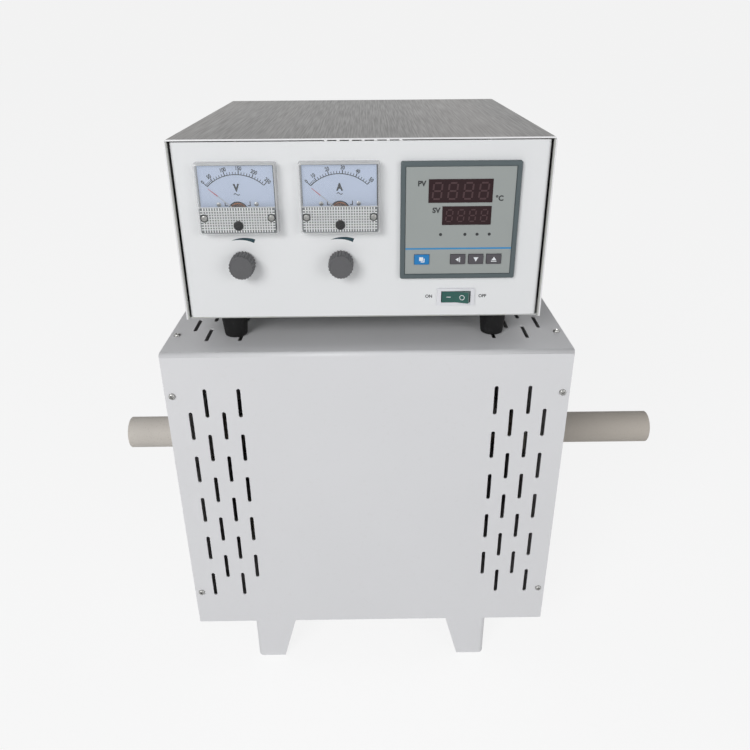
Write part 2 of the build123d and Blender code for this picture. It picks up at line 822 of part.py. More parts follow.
def meter_case(x):
    """Body of a meter: flange on the panel, drum and studs behind, dial posts and movement in front."""
    with BuildPart() as case:
        with BuildSketch(panel_plane(x, meter_z)):
            Rectangle(meter_inner_width, meter_inner_height)
        extrude(amount=meter_flange)
        with BuildSketch(panel_plane(x, meter_z)):
            flat_round(meter_drum_radius, drum_sides)
        extrude(amount=-meter_drum_depth)
        with BuildSketch(panel_plane(x, meter_z, -meter_drum_depth)):
            with GridLocations(2 * meter_stud_x, 1, 2, 1):
                flat_round(meter_stud_radius, pin_sides)
        extrude(amount=-meter_stud)
        with BuildSketch(panel_plane(x, meter_z, meter_flange)):
            with Locations((-dial_post_x, dial_post_y), (dial_post_x, dial_post_y)):
                flat_round(dial_post_radius, pin_sides)
            with Locations((0, pivot_y)):
                flat_round(movement_radius, drum_sides)
        extrude(amount=dial_level - meter_flange)
        with BuildSketch(panel_plane(x, meter_z, dial_level)):
            with Locations((0, pivot_y)):
                flat_hole(spindle_radius + spindle_gap, pin_sides)
        extrude(amount=-spindle_depth, mode=Mode.SUBTRACT)
        with BuildSketch(panel_plane(x, meter_z, meter_flange)):
            with GridLocations(2 * meter_screw_x, 1, 2, 1):
                with Locations((0, meter_screw_y)):
                    flat_hole(meter_screw_shank + screw_clearance, pin_sides)
        extrude(amount=-meter_flange, mode=Mode.SUBTRACT)
    return case


def meter_window(x):
    """Clear front of a meter, a shallow box open towards the panel."""
    with BuildPart() as window:
        with BuildSketch(panel_plane(x, meter_z)):
            Rectangle(meter_width, meter_height)
        extrude(amount=meter_front)
        chamfer(window.faces().sort_by(Axis.Y)[0].edges(), meter_edge)
        with BuildSketch(panel_plane(x, meter_z)):
            Rectangle(meter_width - 2 * meter_wall, meter_height - 2 * meter_wall)
        extrude(amount=meter_cavity, mode=Mode.SUBTRACT)
        with BuildSketch(panel_plane(x, meter_z, meter_front)):
            with Locations((0, zero_y)):
                flat_hole(zero_shaft_radius + zero_gap, bar_sides)
            with GridLocations(2 * meter_screw_x, 1, 2, 1):
                with Locations((0, meter_screw_y)):
                    flat_hole(meter_screw_shank + screw_clearance, pin_sides)
        extrude(amount=-2 * meter_glass, mode=Mode.SUBTRACT)
    return window


def meter_dial(x):
    """Dial plate on its two posts, cut round the movement."""
    with BuildPart() as dial:
        with BuildSketch(panel_plane(x, meter_z, dial_level)):
            with Locations((0, dial_bottom)):
                Rectangle(dial_width, dial_top - dial_bottom, align=(Align.CENTER, Align.MIN))
            with Locations((0, pivot_y)):
                Circle(movement_radius + movement_gap, mode=Mode.SUBTRACT)
        extrude(amount=dial_plate)
    return dial


def meter_needle(x):
    """Needle on its spindle, resting on the scale's zero at the upper left."""
    rest = 90 + needle_swing / 2
    with BuildPart() as needle:
        with BuildSketch(panel_plane(x, meter_z, needle_level)):
            with Locations((0, pivot_y)):
                flat_round(needle_hub_radius, bar_sides)
                with PolarLocations(0, 1, start_angle=rest):
                    with Locations(((needle_length - needle_tail) / 2, 0)):
                        Rectangle(needle_length + needle_tail, needle_width)
        extrude(amount=needle_thick)
        with BuildSketch(panel_plane(x, meter_z, needle_level + needle_thick)):
            with Locations((0, pivot_y)):
                flat_round(spindle_radius, pin_sides)
        extrude(amount=-(needle_level + needle_thick - dial_level + spindle_depth - needle_gap))
    return needle


def zero_adjuster(x):
    """Slotted adjuster in the clear front, with an off-centre pin inside."""
    with BuildPart() as adjuster:
        with BuildSketch(panel_plane(x, meter_z, meter_front + zero_gap)):
            with Locations((0, zero_y)):
                flat_round(zero_radius, drum_sides)
        extrude(amount=zero_head)
        with BuildSketch(panel_plane(x, meter_z, meter_front + zero_gap)):
            with Locations((0, zero_y)):
                flat_round(zero_shaft_radius, bar_sides)
        extrude(amount=-(meter_glass + zero_gap + zero_reach))
        with BuildSketch(panel_plane(x, meter_z, meter_cavity - zero_reach)):
            with Locations((0, zero_y + zero_pin_offset)):
                flat_round(zero_pin_radius, pin_sides)
        extrude(amount=-zero_reach / 2)
        with BuildSketch(panel_plane(x, meter_z, meter_front + zero_gap + zero_head)):
            with Locations((0, zero_y)):
                Rectangle(2 * zero_radius, zero_head / 2)
        extrude(amount=-zero_head / 2, mode=Mode.SUBTRACT)
    return adjuster


# Voltmeter and ammeter, alike but for their place
for meter, x in (("voltmeter", voltmeter_x), ("ammeter", ammeter_x)):
    made = {
        "case": meter_case(x),
        "window": meter_window(x),
        "dial": meter_dial(x),
        "needle": meter_needle(x),
        "zero": zero_adjuster(x),
    }
    for piece, build in made.items():
        build.part.label = f"{meter}_{piece}"
        pieces.append(build)

# Screws that hold the clear fronts on the meter bodies
with BuildPart() as meter_screws:
    screw_xs = [x + side * meter_screw_x for x in (voltmeter_x, ammeter_x) for side in (-1, 1)]
    places = [(x, meter_z + meter_screw_y) for x in screw_xs]
    with BuildSketch(panel_plane(0, 0, meter_front)):
        with Locations(*places):
            flat_round(meter_screw_radius, bar_sides)
    extrude(amount=meter_screw_head)
    with BuildSketch(panel_plane(0, 0, meter_front)):
        with Locations(*places):
            flat_round(meter_screw_shank, pin_sides)
    extrude(amount=-meter_front + screw_clearance)
meter_screws.part.label = "meter_screws"
pieces.append(meter_screws)


def knob(x):
    """Fluted knob, hollow at the back round the potentiometer's nut."""
    turns = [radians(180 / knob_flutes * i) for i in range(2 * knob_flutes)]
    radii = [knob_radius, knob_radius - knob_flute_depth] * knob_flutes
    with BuildPart() as grip:
        with BuildSketch(panel_plane(x, knob_z, knob_gap)):
            Polygon(*[(radius * cos(turn), radius * sin(turn)) for radius, turn in zip(radii, turns)])
        extrude(amount=knob_height)
        with BuildSketch(panel_plane(x, knob_z, knob_gap)):
            flat_hole(knob_recess_radius, bar_sides)
        extrude(amount=knob_recess, mode=Mode.SUBTRACT)
        with BuildSketch(panel_plane(x, knob_z, knob_gap + knob_recess)):
            flat_hole(knob_shaft_radius, bar_sides)
        extrude(amount=knob_shaft_grip, mode=Mode.SUBTRACT)
    return grip


def knob_shaft(x):
    """Potentiometer shaft that the knob is pushed on."""
    with BuildPart() as shaft:
        with BuildSketch(panel_plane(x, knob_z, knob_gap + knob_recess + knob_shaft_grip)):
            flat_round(knob_shaft_radius, bar_sides)
        extrude(amount=-(knob_gap + knob_recess + knob_shaft_grip + controller_sheet + pot_depth / 2))
    return shaft


coarse_knob = knob(coarse_x)
coarse_knob.part.label = "coarse_knob"
fine_knob = knob(fine_x)
fine_knob.part.label = "fine_knob"
coarse_shaft = knob_shaft(coarse_x)
coarse_shaft.part.label = "coarse_shaft"
fine_shaft = knob_shaft(fine_x)
fine_shaft.part.label = "fine_shaft"
pieces += [coarse_knob, fine_knob, coarse_shaft, fine_shaft]

# Potentiometers behind the panel, each with a bushing and nut through it
with BuildPart() as potentiometers:
    places = [(coarse_x, knob_z), (fine_x, knob_z)]
    with BuildSketch(panel_plane(0, 0, -controller_sheet)):
        with Locations(*places):
            flat_round(pot_radius, drum_sides)
    extrude(amount=-pot_depth)
    with BuildSketch(panel_plane(0, 0, -controller_sheet)):
        with Locations(*places):
            flat_round(bushing_radius, bar_sides)
    extrude(amount=controller_sheet + bushing_length)
    with BuildSketch(panel_plane(0, 0)):
        with Locations(*places):
            flat_round(pot_nut_radius, 6)
    extrude(amount=pot_nut)
    with BuildSketch(panel_plane(0, 0, bushing_length)):
        with Locations(*places):
            flat_hole(knob_shaft_radius + bushing_gap, bar_sides)
    extrude(amount=-(bushing_length + controller_sheet + pot_depth / 2 + bushing_gap), mode=Mode.SUBTRACT)
potentiometers.part.label = "potentiometers"
pieces.append(potentiometers)

# Temperature regulator: housing, frame, circuit board, face, windows and keys
with BuildPart() as regulator_case:
    with BuildSketch(panel_plane(regulator_x, regulator_z)):
        Rectangle(regulator_body, regulator_body)
    extrude(amount=-regulator_depth)
regulator_case.part.label = "regulator_case"

with BuildPart() as regulator_bezel:
    with BuildSketch(panel_plane(regulator_x, regulator_z)):
        Rectangle(regulator_size, regulator_size)
    extrude(amount=regulator_front)
    chamfer(regulator_bezel.faces().sort_by(Axis.Y)[0].edges(), regulator_edge)
    with BuildSketch(panel_plane(regulator_x, regulator_z)):
        Rectangle(regulator_opening, regulator_opening)
    extrude(amount=regulator_front, mode=Mode.SUBTRACT)
regulator_bezel.part.label = "regulator_bezel"

face_size = regulator_opening - 2 * face_gap
with BuildPart() as regulator_board:
    with BuildSketch(panel_plane(regulator_x, regulator_z)):
        Rectangle(face_size, face_size)
    extrude(amount=board_thick)
regulator_board.part.label = "regulator_board"

with BuildPart() as regulator_face:
    with BuildSketch(panel_plane(regulator_x, regulator_z, board_thick)):
        Rectangle(face_size, face_size)
        with Locations((0, window_y)):
            Rectangle(window_width, window_height, mode=Mode.SUBTRACT)
        with Locations((set_window_x, set_window_y)):
            Rectangle(set_window_width, set_window_height, mode=Mode.SUBTRACT)
        with Locations(*[(x, key_y) for x in key_places.values()]):
            Rectangle(key_width + 2 * key_gap, key_height + 2 * key_gap, mode=Mode.SUBTRACT)
    extrude(amount=face_thick)
regulator_face.part.label = "regulator_face"

with BuildPart() as process_window:
    with BuildSketch(panel_plane(regulator_x, regulator_z, board_thick)):
        with Locations((0, window_y)):
            Rectangle(window_width, window_height)
    extrude(amount=face_thick + window_proud)
process_window.part.label = "process_window"

with BuildPart() as setpoint_window:
    with BuildSketch(panel_plane(regulator_x, regulator_z, board_thick)):
        with Locations((set_window_x, set_window_y)):
            Rectangle(set_window_width, set_window_height)
    extrude(amount=face_thick + window_proud)
setpoint_window.part.label = "setpoint_window"
pieces += [regulator_case, regulator_bezel, regulator_board, regulator_face]
pieces += [process_window, setpoint_window]

for name, x in key_places.items():
    with BuildPart() as key:
        with BuildSketch(panel_plane(regulator_x, regulator_z, board_thick + key_travel)):
            with Locations((x, key_y)):
                Rectangle(key_width, key_height)
        extrude(amount=face_thick - key_travel + key_proud)
    key.part.label = name
    pieces.append(key)

# Rocker switch: frame with a well, and the rocker on its trunnions
well_width = rocker_width + 2 * rocker_gap
well_height = rocker_height + 2 * rocker_gap
rocker_plane = Plane(
    origin=(controller_shift + switch_x, panel_front - rocker_pivot, controller_bottom + switch_z),
    x_dir=(1, 0, 0),
    z_dir=(0, 0, -1),
)
with BuildPart() as switch_frame:
    with BuildSketch(panel_plane(switch_x, switch_z)):
        Rectangle(switch_width, switch_height)
    extrude(amount=switch_bezel)
    with BuildSketch(panel_plane(switch_x, switch_z)):
        Rectangle(switch_body_width, switch_body_height)
    extrude(amount=-switch_depth)
    with BuildSketch(panel_plane(switch_x, switch_z, switch_bezel)):
        Rectangle(well_width, well_height)
    extrude(amount=-(switch_bezel + rocker_well), mode=Mode.SUBTRACT)
    with BuildSketch(rocker_plane):
        flat_hole(trunnion_radius + trunnion_gap, bar_sides)
    extrude(amount=rocker_height / 2 + trunnion_length + trunnion_gap, both=True, mode=Mode.SUBTRACT)
switch_frame.part.label = "switch_frame"

# The rocker is drawn about its pivot, its two top flats meeting low in the middle
middle = rocker_low - rocker_pivot
end_rise = rocker_width / 2 * sin(radians(rocker_tilt)) / cos(radians(rocker_tilt))
bottom = rocker_bottom - rocker_pivot
with BuildPart() as switch_rocker:
    with BuildSketch(rocker_plane):
        Circle(rocker_width / 2)
        half, top = rocker_width / 2, middle + end_rise
        outline = [(-half, top), (-half, bottom), (half, bottom), (half, top), (0, middle)]
        Polygon(*outline, mode=Mode.INTERSECT, rotation=rocker_tilt)
    extrude(amount=rocker_height / 2, both=True)
    with BuildSketch(rocker_plane):
        flat_round(trunnion_radius, bar_sides)
    extrude(amount=rocker_height / 2 + trunnion_length, both=True)
switch_rocker.part.label = "switch_rocker"
pieces += [switch_frame, switch_rocker]

# Transformer: laminated core with its coil round the middle leg
with BuildPart() as transformer:
    core_place = Plane.XY.offset(chassis_top)
    with BuildSketch(core_place):
        with Locations((core_x, core_y)):
            Rectangle(core_width, core_depth)
    extrude(amount=core_height)
    with BuildSketch(core_place.offset(core_leg)):
        with Locations((core_x, core_y)):
            Rectangle(core_width - 2 * core_leg, core_depth + 2 * coil_bulge)
    extrude(amount=core_height - 2 * core_leg)
transformer.part.label = "transformer"

# Heat sink with its fins down on the chassis, and the thyristor module on top
sink_plane = Plane.XZ.offset(-(sink_y - sink_depth / 2))
sink_top = chassis_top + sink_fin_height + sink_base
with BuildPart() as heat_sink:
    with BuildSketch(sink_plane):
        with Locations((sink_x, sink_top)):
            Rectangle(sink_width, sink_base, align=(Align.CENTER, Align.MAX))
        with Locations((sink_x, chassis_top + sink_fin_height / 2)):
            with GridLocations((sink_width - sink_fin) / (sink_fins - 1), 1, sink_fins, 1):
                Rectangle(sink_fin, sink_fin_height)
    extrude(amount=-sink_depth)
heat_sink.part.label = "heat_sink"

with BuildPart() as thyristor_module:
    with BuildSketch(Plane.XY.offset(sink_top)):
        with Locations((sink_x, sink_y)):
            Rectangle(module_width, module_depth)
    extrude(amount=module_height)
    with BuildSketch(Plane.XY.offset(sink_top + module_height)):
        with Locations((sink_x, sink_y)):
            with GridLocations(module_width / 4, 1, 3, 1):
                Rectangle(module_post, module_post)
    extrude(amount=module_post / 2)
thyristor_module.part.label = "thyristor_module"

with BuildPart() as fuse_holder:
    fuse_plane = back_plane(controller_shift + fuse_x, controller_bottom + fuse_z, panel_rear)
    with BuildSketch(fuse_plane):
        flat_round(fuse_radius, drum_sides)
    extrude(amount=fuse_cap)
    with BuildSketch(fuse_plane):
        flat_round(fuse_body_radius, bar_sides)
    extrude(amount=-fuse_body)
fuse_holder.part.label = "fuse_holder"

gland_places = [(-x, rear_gland_z) for x in rear_gland_xs]
controller_glands = cable_gland(
    back_plane(controller_shift, controller_bottom, panel_rear), gland_places, controller_sheet
)
controller_glands.part.label = "controller_glands"
pieces += [transformer, heat_sink, thyristor_module, fuse_holder, controller_glands]

for piece in pieces:
    export_step(piece.part, f"parts/{piece.part.label}.step")
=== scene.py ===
import bpy
import bmesh
from math import cos, pi, radians, sin, tan
from mathutils import Matrix, Vector


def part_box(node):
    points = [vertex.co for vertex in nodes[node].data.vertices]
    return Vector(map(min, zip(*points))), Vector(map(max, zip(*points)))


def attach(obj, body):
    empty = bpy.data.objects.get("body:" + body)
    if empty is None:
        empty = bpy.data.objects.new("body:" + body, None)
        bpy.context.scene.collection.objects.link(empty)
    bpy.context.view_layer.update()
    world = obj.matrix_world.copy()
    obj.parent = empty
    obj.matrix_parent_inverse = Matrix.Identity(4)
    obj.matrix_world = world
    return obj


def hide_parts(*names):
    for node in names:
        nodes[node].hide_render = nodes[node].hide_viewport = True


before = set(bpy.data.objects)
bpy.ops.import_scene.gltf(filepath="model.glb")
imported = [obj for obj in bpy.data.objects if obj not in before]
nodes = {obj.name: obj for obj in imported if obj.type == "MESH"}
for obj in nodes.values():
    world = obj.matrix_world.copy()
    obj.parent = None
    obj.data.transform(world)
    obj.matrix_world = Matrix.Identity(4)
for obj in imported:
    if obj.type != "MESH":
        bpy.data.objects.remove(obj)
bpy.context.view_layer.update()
scene = bpy.context.scene

# Lengths below are millimetres, and every piece is drawn in the plane that carries it.
# A plane's X runs right and its Y up, as seen from outside, and its Z points out.
MILLIMETRE = Matrix.Scale(0.001, 4)
moved_by = Matrix.Translation
turned_by = Matrix.Rotation


def facing(place, out, up=(0, 0, 1)):
    """Plane at a place in millimetres that faces out, as a matrix into the frame."""
    z = Vector(out).normalized()
    x = Vector(up).cross(z).normalized()
    y = z.cross(x)
    turned_to = Matrix((x, y, z)).transposed().to_4x4()
    return MILLIMETRE @ moved_by(place) @ turned_to


def corners(node):
    """Low and high corner of a node's box in millimetres."""
    return [corner * 1000 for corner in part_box(node)]


def middle(node):
    """Middle of a node's box in millimetres."""
    low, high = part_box(node)
    return (low + high) * 500


# Places read from the frame
panel_y = corners("front_panel")[0].y
back_y = corners("back_panel")[1].y
case_low, case_high = corners("furnace_cover")
cover_low, cover_high = corners("controller_cover")
collar_x = corners("end_collars")[1].x
tube_z = middle("work_tube").z
meters = {"voltmeter": middle("voltmeter_window"), "ammeter": middle("ammeter_window")}
knobs = {"coarse_knob": middle("coarse_knob"), "fine_knob": middle("fine_knob")}
regulator = middle("regulator_bezel")
switch = middle("switch_frame")
case_sheet = 1.2
case_bend = 3.5
cover_sheet = 1.2
meter_front = 10.5


def on_panel(centre, u=0.0, v=0.0, w=0.0):
    """Plane on the front panel, w millimetres proud of it."""
    return facing((centre.x + u, panel_y - w, centre.z + v), (0, -1, 0))


def proud(node):
    """How far a node's front stands off the panel."""
    return panel_y - corners(node)[0].y


def on_back(node, y):
    """Plane on a back wall, over the middle of a node."""
    centre = middle(node)
    return facing((centre.x, y, centre.z), (0, 1, 0))


def in_scene(name, data):
    """New object in the scene."""
    obj = bpy.data.objects.new(name, data)
    scene.collection.objects.link(obj)
    return obj


# Node trees


def add(tree, kind, feeds=None, **settings):
    """Adds a node, with its settings and with a value or a link for each named input."""
    node = tree.nodes.new(kind)
    for key, value in settings.items():
        setattr(node, key, value)
    for key, value in (feeds or {}).items():
        if isinstance(value, bpy.types.NodeSocket):
            tree.links.new(value, node.inputs[key])
        else:
            node.inputs[key].default_value = value
    return node


def put(tree, kind, feeds=None, **settings):
    """Adds a node and gives its first output."""
    return add(tree, kind, feeds, **settings).outputs[0]


def calc(tree, operation, *values):
    """Arithmetic node, gives its result."""
    return put(tree, "ShaderNodeMath", dict(enumerate(values)), operation=operation)


def tone(code):
    """Colour as it shows on a screen, made linear."""
    parts = [int(code[i : i + 2], 16) / 255 for i in (1, 3, 5)]
    return tuple([p / 12.92 if p < 0.04045 else ((p + 0.055) / 1.055) ** 2.4 for p in parts] + [1.0])


def shade(colour, factor):
    """Colour made lighter or darker."""
    return tuple([min(1.0, c * factor) for c in colour[:3]] + [1.0])


def bare_tree(owner):
    """Empty node tree of a material or of the world."""
    owner.use_nodes = True
    owner.node_tree.nodes.clear()
    return owner.node_tree


def finish(
    name, code, rough, grain=0.8, relief=0.12, drift=0.03, patch=70.0,
    metal=0.0, depth=0.1, stretch=(1, 1, 1), coat=0.0, alpha=1.0, gloss=0.5,
):
    """Surface with a fine grain in its relief and a slow drift in its colour and roughness."""
    material = bpy.data.materials.new(name)
    tree = bare_tree(material)
    colour = tone(code)
    place = add(tree, "ShaderNodeTexCoord").outputs["Object"]
    drawn_out = put(tree, "ShaderNodeMapping", {"Vector": place, "Scale": stretch})
    feeds = {"Vector": drawn_out, "Scale": 1000 / grain, "Detail": 4.0, "Roughness": 0.6}
    fine = put(tree, "ShaderNodeTexNoise", feeds)
    slow = put(tree, "ShaderNodeTexNoise", {"Vector": place, "Scale": 1000 / patch, "Detail": 3.0})
    feeds = {0: slow, 6: shade(colour, 1 - 2 * drift), 7: shade(colour, 1 + 2 * drift)}
    mixed = add(tree, "ShaderNodeMix", feeds, data_type="RGBA").outputs[2]
    feeds = {0: fine, 1: 0.3, 2: 0.7, 3: max(rough - 0.05, 0.01), 4: rough + 0.05}
    roughness = put(tree, "ShaderNodeMapRange", feeds)
    feeds = {"Height": fine, "Strength": relief, "Distance": depth / 1000}
    bump = put(tree, "ShaderNodeBump", feeds)
    shader = add(tree, "ShaderNodeBsdfPrincipled", {
        "Base Color": mixed, "Roughness": roughness, "Metallic": metal, "Normal": bump,
        "Coat Weight": coat, "Alpha": alpha, "Specular IOR Level": gloss,
    })
    add(tree, "ShaderNodeOutputMaterial", {"Surface": shader.outputs[0]})
    return material


def mask_noise(material, size, low, high, stretch=(1, 1, 1), detail=3.0):
    """Noise of a size in millimetres, cut off between two levels."""
    tree = material.node_tree
    place = add(tree, "ShaderNodeTexCoord").outputs["Object"]
    drawn_out = put(tree, "ShaderNodeMapping", {"Vector": place, "Scale": stretch})
    noise = add(tree, "ShaderNodeTexNoise", {"Vector": drawn_out, "Scale": 1000 / size, "Detail": detail})
    return put(tree, "ShaderNodeMapRange", {0: noise.outputs[0], 1: low, 2: high})


def mask_band(material, axis, start, end):
    """Runs from 0 to 1 between two places along an axis, in millimetres."""
    tree = material.node_tree
    place = add(tree, "ShaderNodeTexCoord").outputs["Object"]
    along = add(tree, "ShaderNodeSeparateXYZ", {0: place}).outputs[axis]
    return put(tree, "ShaderNodeMapRange", {0: along, 1: start / 1000, 2: end / 1000})


def times(material, first, second):
    """Product of two masks, or of a mask and a strength."""
    return calc(material.node_tree, "MULTIPLY", first, second)


def tint(material, mask, code, strength):
    """Lays a second colour over the first wherever the mask is."""
    tree = material.node_tree
    socket = tree.nodes["Principled BSDF"].inputs["Base Color"]
    share = times(material, mask, strength)
    feeds = {0: share, 6: socket.links[0].from_socket, 7: tone(code)}
    mixed = add(tree, "ShaderNodeMix", feeds, data_type="RGBA").outputs[2]
    tree.links.new(mixed, socket)


def speckle(material, size, low, high, code, strength, stretch=(1, 1, 1), detail=3.0):
    """Lays a second colour over the first in patches of a size in millimetres."""
    tint(material, mask_noise(material, size, low, high, stretch, detail), code, strength)


def roughen(material, mask, low, high):
    """Takes the roughness from a mask."""
    tree = material.node_tree
    ranged = put(tree, "ShaderNodeMapRange", {0: mask, 3: low, 4: high})
    tree.links.new(ranged, tree.nodes["Principled BSDF"].inputs["Roughness"])


# Finishes, each with its colour, its roughness, the size of its grain, the strength of its relief,
# the drift of its colour and the size of the drift's patches
casing_paint = finish("casing_paint", "#dddddf", 0.42, 1.1, 0.1, 0.012, 120)
speckle(casing_paint, 3.5, 0.62, 0.72, "#c9c8c4", 0.1)

controller_paint = finish("controller_paint", "#e6e7e8", 0.4, 1.0, 0.08, 0.01, 90)
speckle(controller_paint, 3.0, 0.62, 0.72, "#d3d3d0", 0.08)

cover_metal = finish("cover_metal", "#514f4d", 0.34, 0.7, 0.1, 0.02, metal=1.0, stretch=(1, 0.02, 0.02))
# Broad lighter bands drawn out front to back: painted reflection streaks on the cover top
speckle(cover_metal, 60, 0.44, 0.64, "#66625f", 0.7, (1, 0.02, 0.02), 1.0)
speckle(cover_metal, 0.9, 0.35, 0.65, "#3b3937", 0.22, (1, 0.012, 0.012))
roughen(cover_metal, mask_noise(cover_metal, 1.2, 0.35, 0.65, (1, 0.02, 0.02)), 0.28, 0.38)

# Painted highlight: a near-white band along the cover's front bend, where the edge catches the light
tint(cover_metal, mask_band(cover_metal, 1, -141.9, -142.5), "#f0f0f2", 0.85)
# Turned-in edges of the dark cover sheet, made light grey as a painted highlight of the front light on them
lip_painted_highlight = finish("lip_painted_highlight", "#b4b5b1", 0.42, 0.7, 0.08, 0.02, 30)

zinc_plate = finish("zinc_plate", "#b6b8b7", 0.33, 0.7, 0.08, 0.05, 14, metal=1.0)
speckle(zinc_plate, 9, 0.45, 0.62, "#a3a494", 0.35)
screw_steel = finish("screw_steel", "#a7a7a5", 0.3, 0.25, 0.06, 0.05, 3, metal=1.0)
inner_steel = finish("inner_steel", "#9c9b98", 0.42, 1.4, 0.1, 0.05, metal=1.0, stretch=(0.03, 1, 1))
speckle(inner_steel, 40, 0.5, 0.7, "#8b7f70", 0.4)

tube_ceramic = finish("tube_ceramic", "#d2ccc4", 0.62, 0.5, 0.22, 0.03, 26, gloss=0.35)
speckle(tube_ceramic, 1.3, 0.6, 0.72, "#8d8278", 0.35)
for clean, stained, size, low, code, strength in (
    (216, 186, 14, 0.38, "#9a8468", 0.55), (-212, -188, 12, 0.42, "#a19078", 0.30),
):
    end = mask_band(tube_ceramic, 0, clean, stained)
    end = times(tube_ceramic, end, mask_band(tube_ceramic, 0, 0, 10 if clean > 0 else -10))
    tint(tube_ceramic, times(tube_ceramic, end, mask_noise(tube_ceramic, size, low, 0.62)), code, strength)
tint(tube_ceramic, mask_band(tube_ceramic, 0, 150, 190), "#a89f94", 0.55)
collar_ceramic = finish("collar_ceramic", "#e6e1d6", 0.68, 0.6, 0.25, 0.02, 20)
speckle(collar_ceramic, 1.0, 0.62, 0.72, "#b9ae9c", 0.4)
fibre_insulation = finish("fibre_insulation", "#efece2", 0.95, 1.6, 0.7, 0.03,
                          depth=0.3, stretch=(1, 1, 0.25), gloss=0.1)
speckle(fibre_insulation, 18, 0.5, 0.75, "#d8cdb8", 0.5)
silicon_carbide = finish("silicon_carbide", "#6d7072", 0.6, 0.35, 0.5, 0.08, 9)
speckle(silicon_carbide, 0.4, 0.6, 0.66, "#b9bcbd", 0.6)
link_aluminium = finish("link_aluminium", "#cfcfd0", 0.36, 0.8, 0.3, 0.04, metal=1.0, stretch=(1, 0.1, 1))
probe_steel = finish("probe_steel", "#a9a8a4", 0.28, 0.5, 0.08, metal=1.0, stretch=(1, 0.06, 1))
glazed_ceramic = finish("glazed_ceramic", "#e4e1d6", 0.18, 2.0, 0.05, 0.02, coat=0.6)
gland_nylon = finish("gland_nylon", "#2b2c2d", 0.46, 0.35, 0.12, 0.08, 5)
foot_rubber = finish("foot_rubber", "#0f0f10", 0.66, 0.4, 0.25, 0.1, 6, gloss=0.3)
speckle(foot_rubber, 5, 0.55, 0.75, "#343436", 0.35)

meter_black = finish("meter_black", "#1c1d1e", 0.5, 0.4, 0.12, 0.08, 8)
meter_pane = finish("meter_pane", "#e9f0f6", 0.05, 6.0, 0.02, 0.01, alpha=0.06)
meter_rim = finish("meter_rim", "#f8f9fa", 0.14, 1.6, 0.06, 0.02, 12, alpha=0.45)
# The ribbed field is one moulding: its darker ground is painted shade between the ribs, and the lighter ribs
# are a painted highlight
meter_frost_painted_shade = finish("meter_frost_painted_shade", "#6e7274", 0.34, 0.5, 0.2, 0.06, 6)
meter_rib_painted_highlight = finish("meter_rib_painted_highlight", "#f2f3f3", 0.22, 0.5, 0.1, 0.04, 5)
dial_face = finish("dial_face", "#bac5da", 0.55, 0.5, 0.04, 0.02, 25)
dial_ink = finish("dial_ink", "#0c0e12", 0.55, 0.3, 0.05, 0.1, 3)
needle_red = finish("needle_red", "#c0392f", 0.42, 0.3, 0.05, 0.05, 3)
needle_pale = finish("needle_pale", "#b9bcc0", 0.42, 0.3, 0.05, 0.05, 3)
coil_copper = finish("coil_copper", "#a8683a", 0.32, 0.3, 0.2, 0.08, 3, metal=1.0)
zero_black = finish("zero_black", "#1c1c1d", 0.28, 0.3, 0.08, 0.06, 3)
knob_grey = finish("knob_grey", "#58585a", 0.5, 0.35, 0.16, 0.05, 7)
speckle(knob_grey, 0.8, 0.6, 0.7, "#6e6e70", 0.25)
shaft_brass = finish("shaft_brass", "#b79a5c", 0.28, 0.4, 0.1, metal=1.0, stretch=(1, 0.08, 1))
component_steel = finish("component_steel", "#a6a6a4", 0.34, 0.5, 0.08, 0.03, 12, metal=1.0)

frame_grey = finish("frame_grey", "#4f5a5d", 0.42, 0.35, 0.12, 0.03, 14)
circuit_green = finish("circuit_green", "#1d5c36", 0.34, 0.8, 0.1, 0.05, coat=0.3)
speckle(circuit_green, 2.2, 0.5, 0.53, "#2f8a52", 0.8, (1, 1, 4))
film_grey = finish("film_grey", "#9a9f9d", 0.38, 0.45, 0.06, 0.015, 22)
print_black = finish("print_black", "#26282a", 0.48, 0.3, 0.05, 0.1, 4)
print_blue = finish("print_blue", "#2f86bd", 0.42, 0.3, 0.05, 0.04, 6)
print_white = finish("print_white", "#e4e7ea", 0.45, 0.3, 0.05, 0.02, 4)
print_teal = finish("print_teal", "#123640", 0.42, 0.4, 0.05, 0.05, 12)
window_red = finish("window_red", "#2a1418", 0.22, 3.0, 0.02, 0.05, 12, gloss=0.25)
digit_red = finish("digit_red", "#3d2226", 0.35, 0.5, 0.04, 0.08, 5)
key_blue = finish("key_blue", "#1078b9", 0.36, 0.4, 0.08, 0.04, 5)
key_grey = finish("key_grey", "#4a474c", 0.4, 0.4, 0.08, 0.04, 5)
switch_white = finish("switch_white", "#e2e2e6", 0.3, 0.5, 0.05, 0.015, 9)
rocker_green = finish("rocker_green", "#0e5249", 0.22, 0.8, 0.04, 0.1, 8, coat=0.2)
core_steel = finish("core_steel", "#5c5d60", 0.5, 0.9, 0.5, 0.06, metal=0.8, stretch=(0.02, 1, 0.02))
sink_aluminium = finish("sink_aluminium", "#c2c3c5", 0.36, 0.7, 0.12, 0.03, metal=1.0, stretch=(1, 0.03, 1))
module_black = finish("module_black", "#2e2f31", 0.44, 0.4, 0.12, 0.06, 10)

